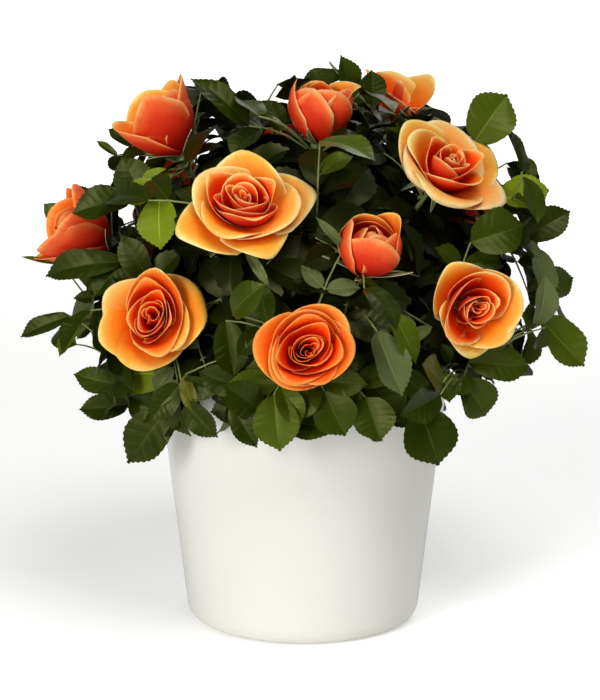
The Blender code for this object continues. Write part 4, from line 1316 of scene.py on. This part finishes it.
def add_crumb(pile, centre, radii, chance):
    """A rough crumb: a squashed, jittered ball."""
    rows, columns = 5, 7
    lift = np.linspace(-1.35, 1.35, rows)[:, None]
    turn = (np.arange(columns) * math.tau / columns)[None, :]
    ball = [np.cos(lift) * np.cos(turn), np.cos(lift) * np.sin(turn), np.sin(lift) + 0 * turn]
    rough = np.array([chance.uniform(0.8, 1.15) for i in range(rows * columns)])
    swing = np.array(Matrix.Rotation(chance.uniform(0, math.tau), 3, "Z"))
    points = np.stack(ball, axis=-1) * rough.reshape(rows, columns, 1) * np.array(radii)
    pile.add_closed(points @ swing.T + np.array(centre))


# ---------------------------------------------------------------- the whole plant

def make_plant():
    chance = random.Random(SEED)
    crown = Crown()
    bark, petal, leaf = bark_material(), petal_material(), leaf_materials()
    green, sepal = stalk_material(), sepal_materials()
    make_pot().show("glazed_pot", [glaze_material()], "glazed_pot", "pot")
    make_compost(chance).show("compost_crumbs", [compost_material()], "compost", "soil")
    grow_main_stem(chance).show("woody_stem", [bark], "bark", "main_stem")
    canes = ["cane_" + mass.name for mass in crown.masses]
    grow_canes(crown.masses, chance).show("thorny_canes", [bark], "bark", *canes)
    grow_outline_leaves(crown, chance)
    for place in leaf_places():
        grow_leaf(crown, place, chance)
    hips = Pile()
    for mass in crown.masses:
        node = "foliage_" + mass.name
        add_shoots(mass, chance)
        mass.leaves.show("leaves_" + mass.name, leaf, "foliage", node)
        mass.stalks.show("twigs_" + mass.name, [green], "foliage", node)
        for shoot in mass.shoots:
            if shoot.mouth:
                add_hip(hips, shoot, chance)
                grow_rose(shoot, chance).show("rose_" + shoot.name, [petal], "petals", node)
    hips.show("hips_and_sepals", sepal, "foliage")


# ---------------------------------------------------------------- floor, light and camera

def make_stage():
    """A sheet of paper under the pot, that bends up behind it."""
    points = []
    for x in (-SWEEP_REACH, SWEEP_REACH):
        points += [(x, -SWEEP_REACH, 0), (x, SWEEP_BACK - SWEEP_BEND, 0)]
        for step in range(1, 9):
            turn = math.pi / 2 * step / 8
            y = SWEEP_BACK - SWEEP_BEND + SWEEP_BEND * math.sin(turn)
            points.append((x, y, SWEEP_BEND * (1 - math.cos(turn))))
        points.append((x, SWEEP_BACK, SWEEP_TOP))
    half = len(points) // 2
    floor = Pile()
    faces = [[i, half + i, half + i + 1, i + 1] for i in range(half - 1)]
    floor.add([(x, y, z - mm(0.05)) for x, y, z in points], faces)
    floor.piece("paper_sweep", [paper_material()])


def make_lights():
    for name, place, target, size, power, colour in LIGHTS:
        data = bpy.data.lights.new(name, "AREA")
        data.shape = "DISK"
        data.size = size
        data.energy = power
        data.color = colour
        light = add_object(name, data)
        light.location = place
        way = Vector((0, 0, target)) - Vector(place)
        light.rotation_euler = way.to_track_quat("-Z", "Y").to_euler()
    world = bpy.data.worlds.new("studio")
    world.use_nodes = True
    nodes, links = world.node_tree.nodes, world.node_tree.links
    nodes["Background"].inputs["Color"].default_value = (1, 1, 1, 1)
    nodes["Background"].inputs["Strength"].default_value = SKY_LIGHT
    beyond = nodes.new("ShaderNodeBackground")  # what is seen past the edge of the paper
    beyond.inputs["Color"].default_value = (1, 1, 1, 1)
    seen = nodes.new("ShaderNodeLightPath")
    either = nodes.new("ShaderNodeMixShader")
    links.new(seen.outputs["Is Camera Ray"], either.inputs["Fac"])
    links.new(nodes["Background"].outputs["Background"], either.inputs[1])
    links.new(beyond.outputs["Background"], either.inputs[2])
    links.new(either.outputs["Shader"], nodes["World Output"].inputs["Surface"])
    bpy.context.scene.world = world


def make_camera():
    data = bpy.data.cameras.new("camera")
    data.lens = LENS
    data.sensor_width = SENSOR
    data.clip_start = 0.05
    camera = add_object("camera", data)
    camera.location = VIEWPOINT
    camera.rotation_euler = (math.pi / 2 - VIEW_DOWN, 0, 0)
    bpy.context.scene.camera = camera


make_plant()
make_stage()
make_lights()
make_camera()
bpy.context.scene.view_settings.view_transform = "Standard"
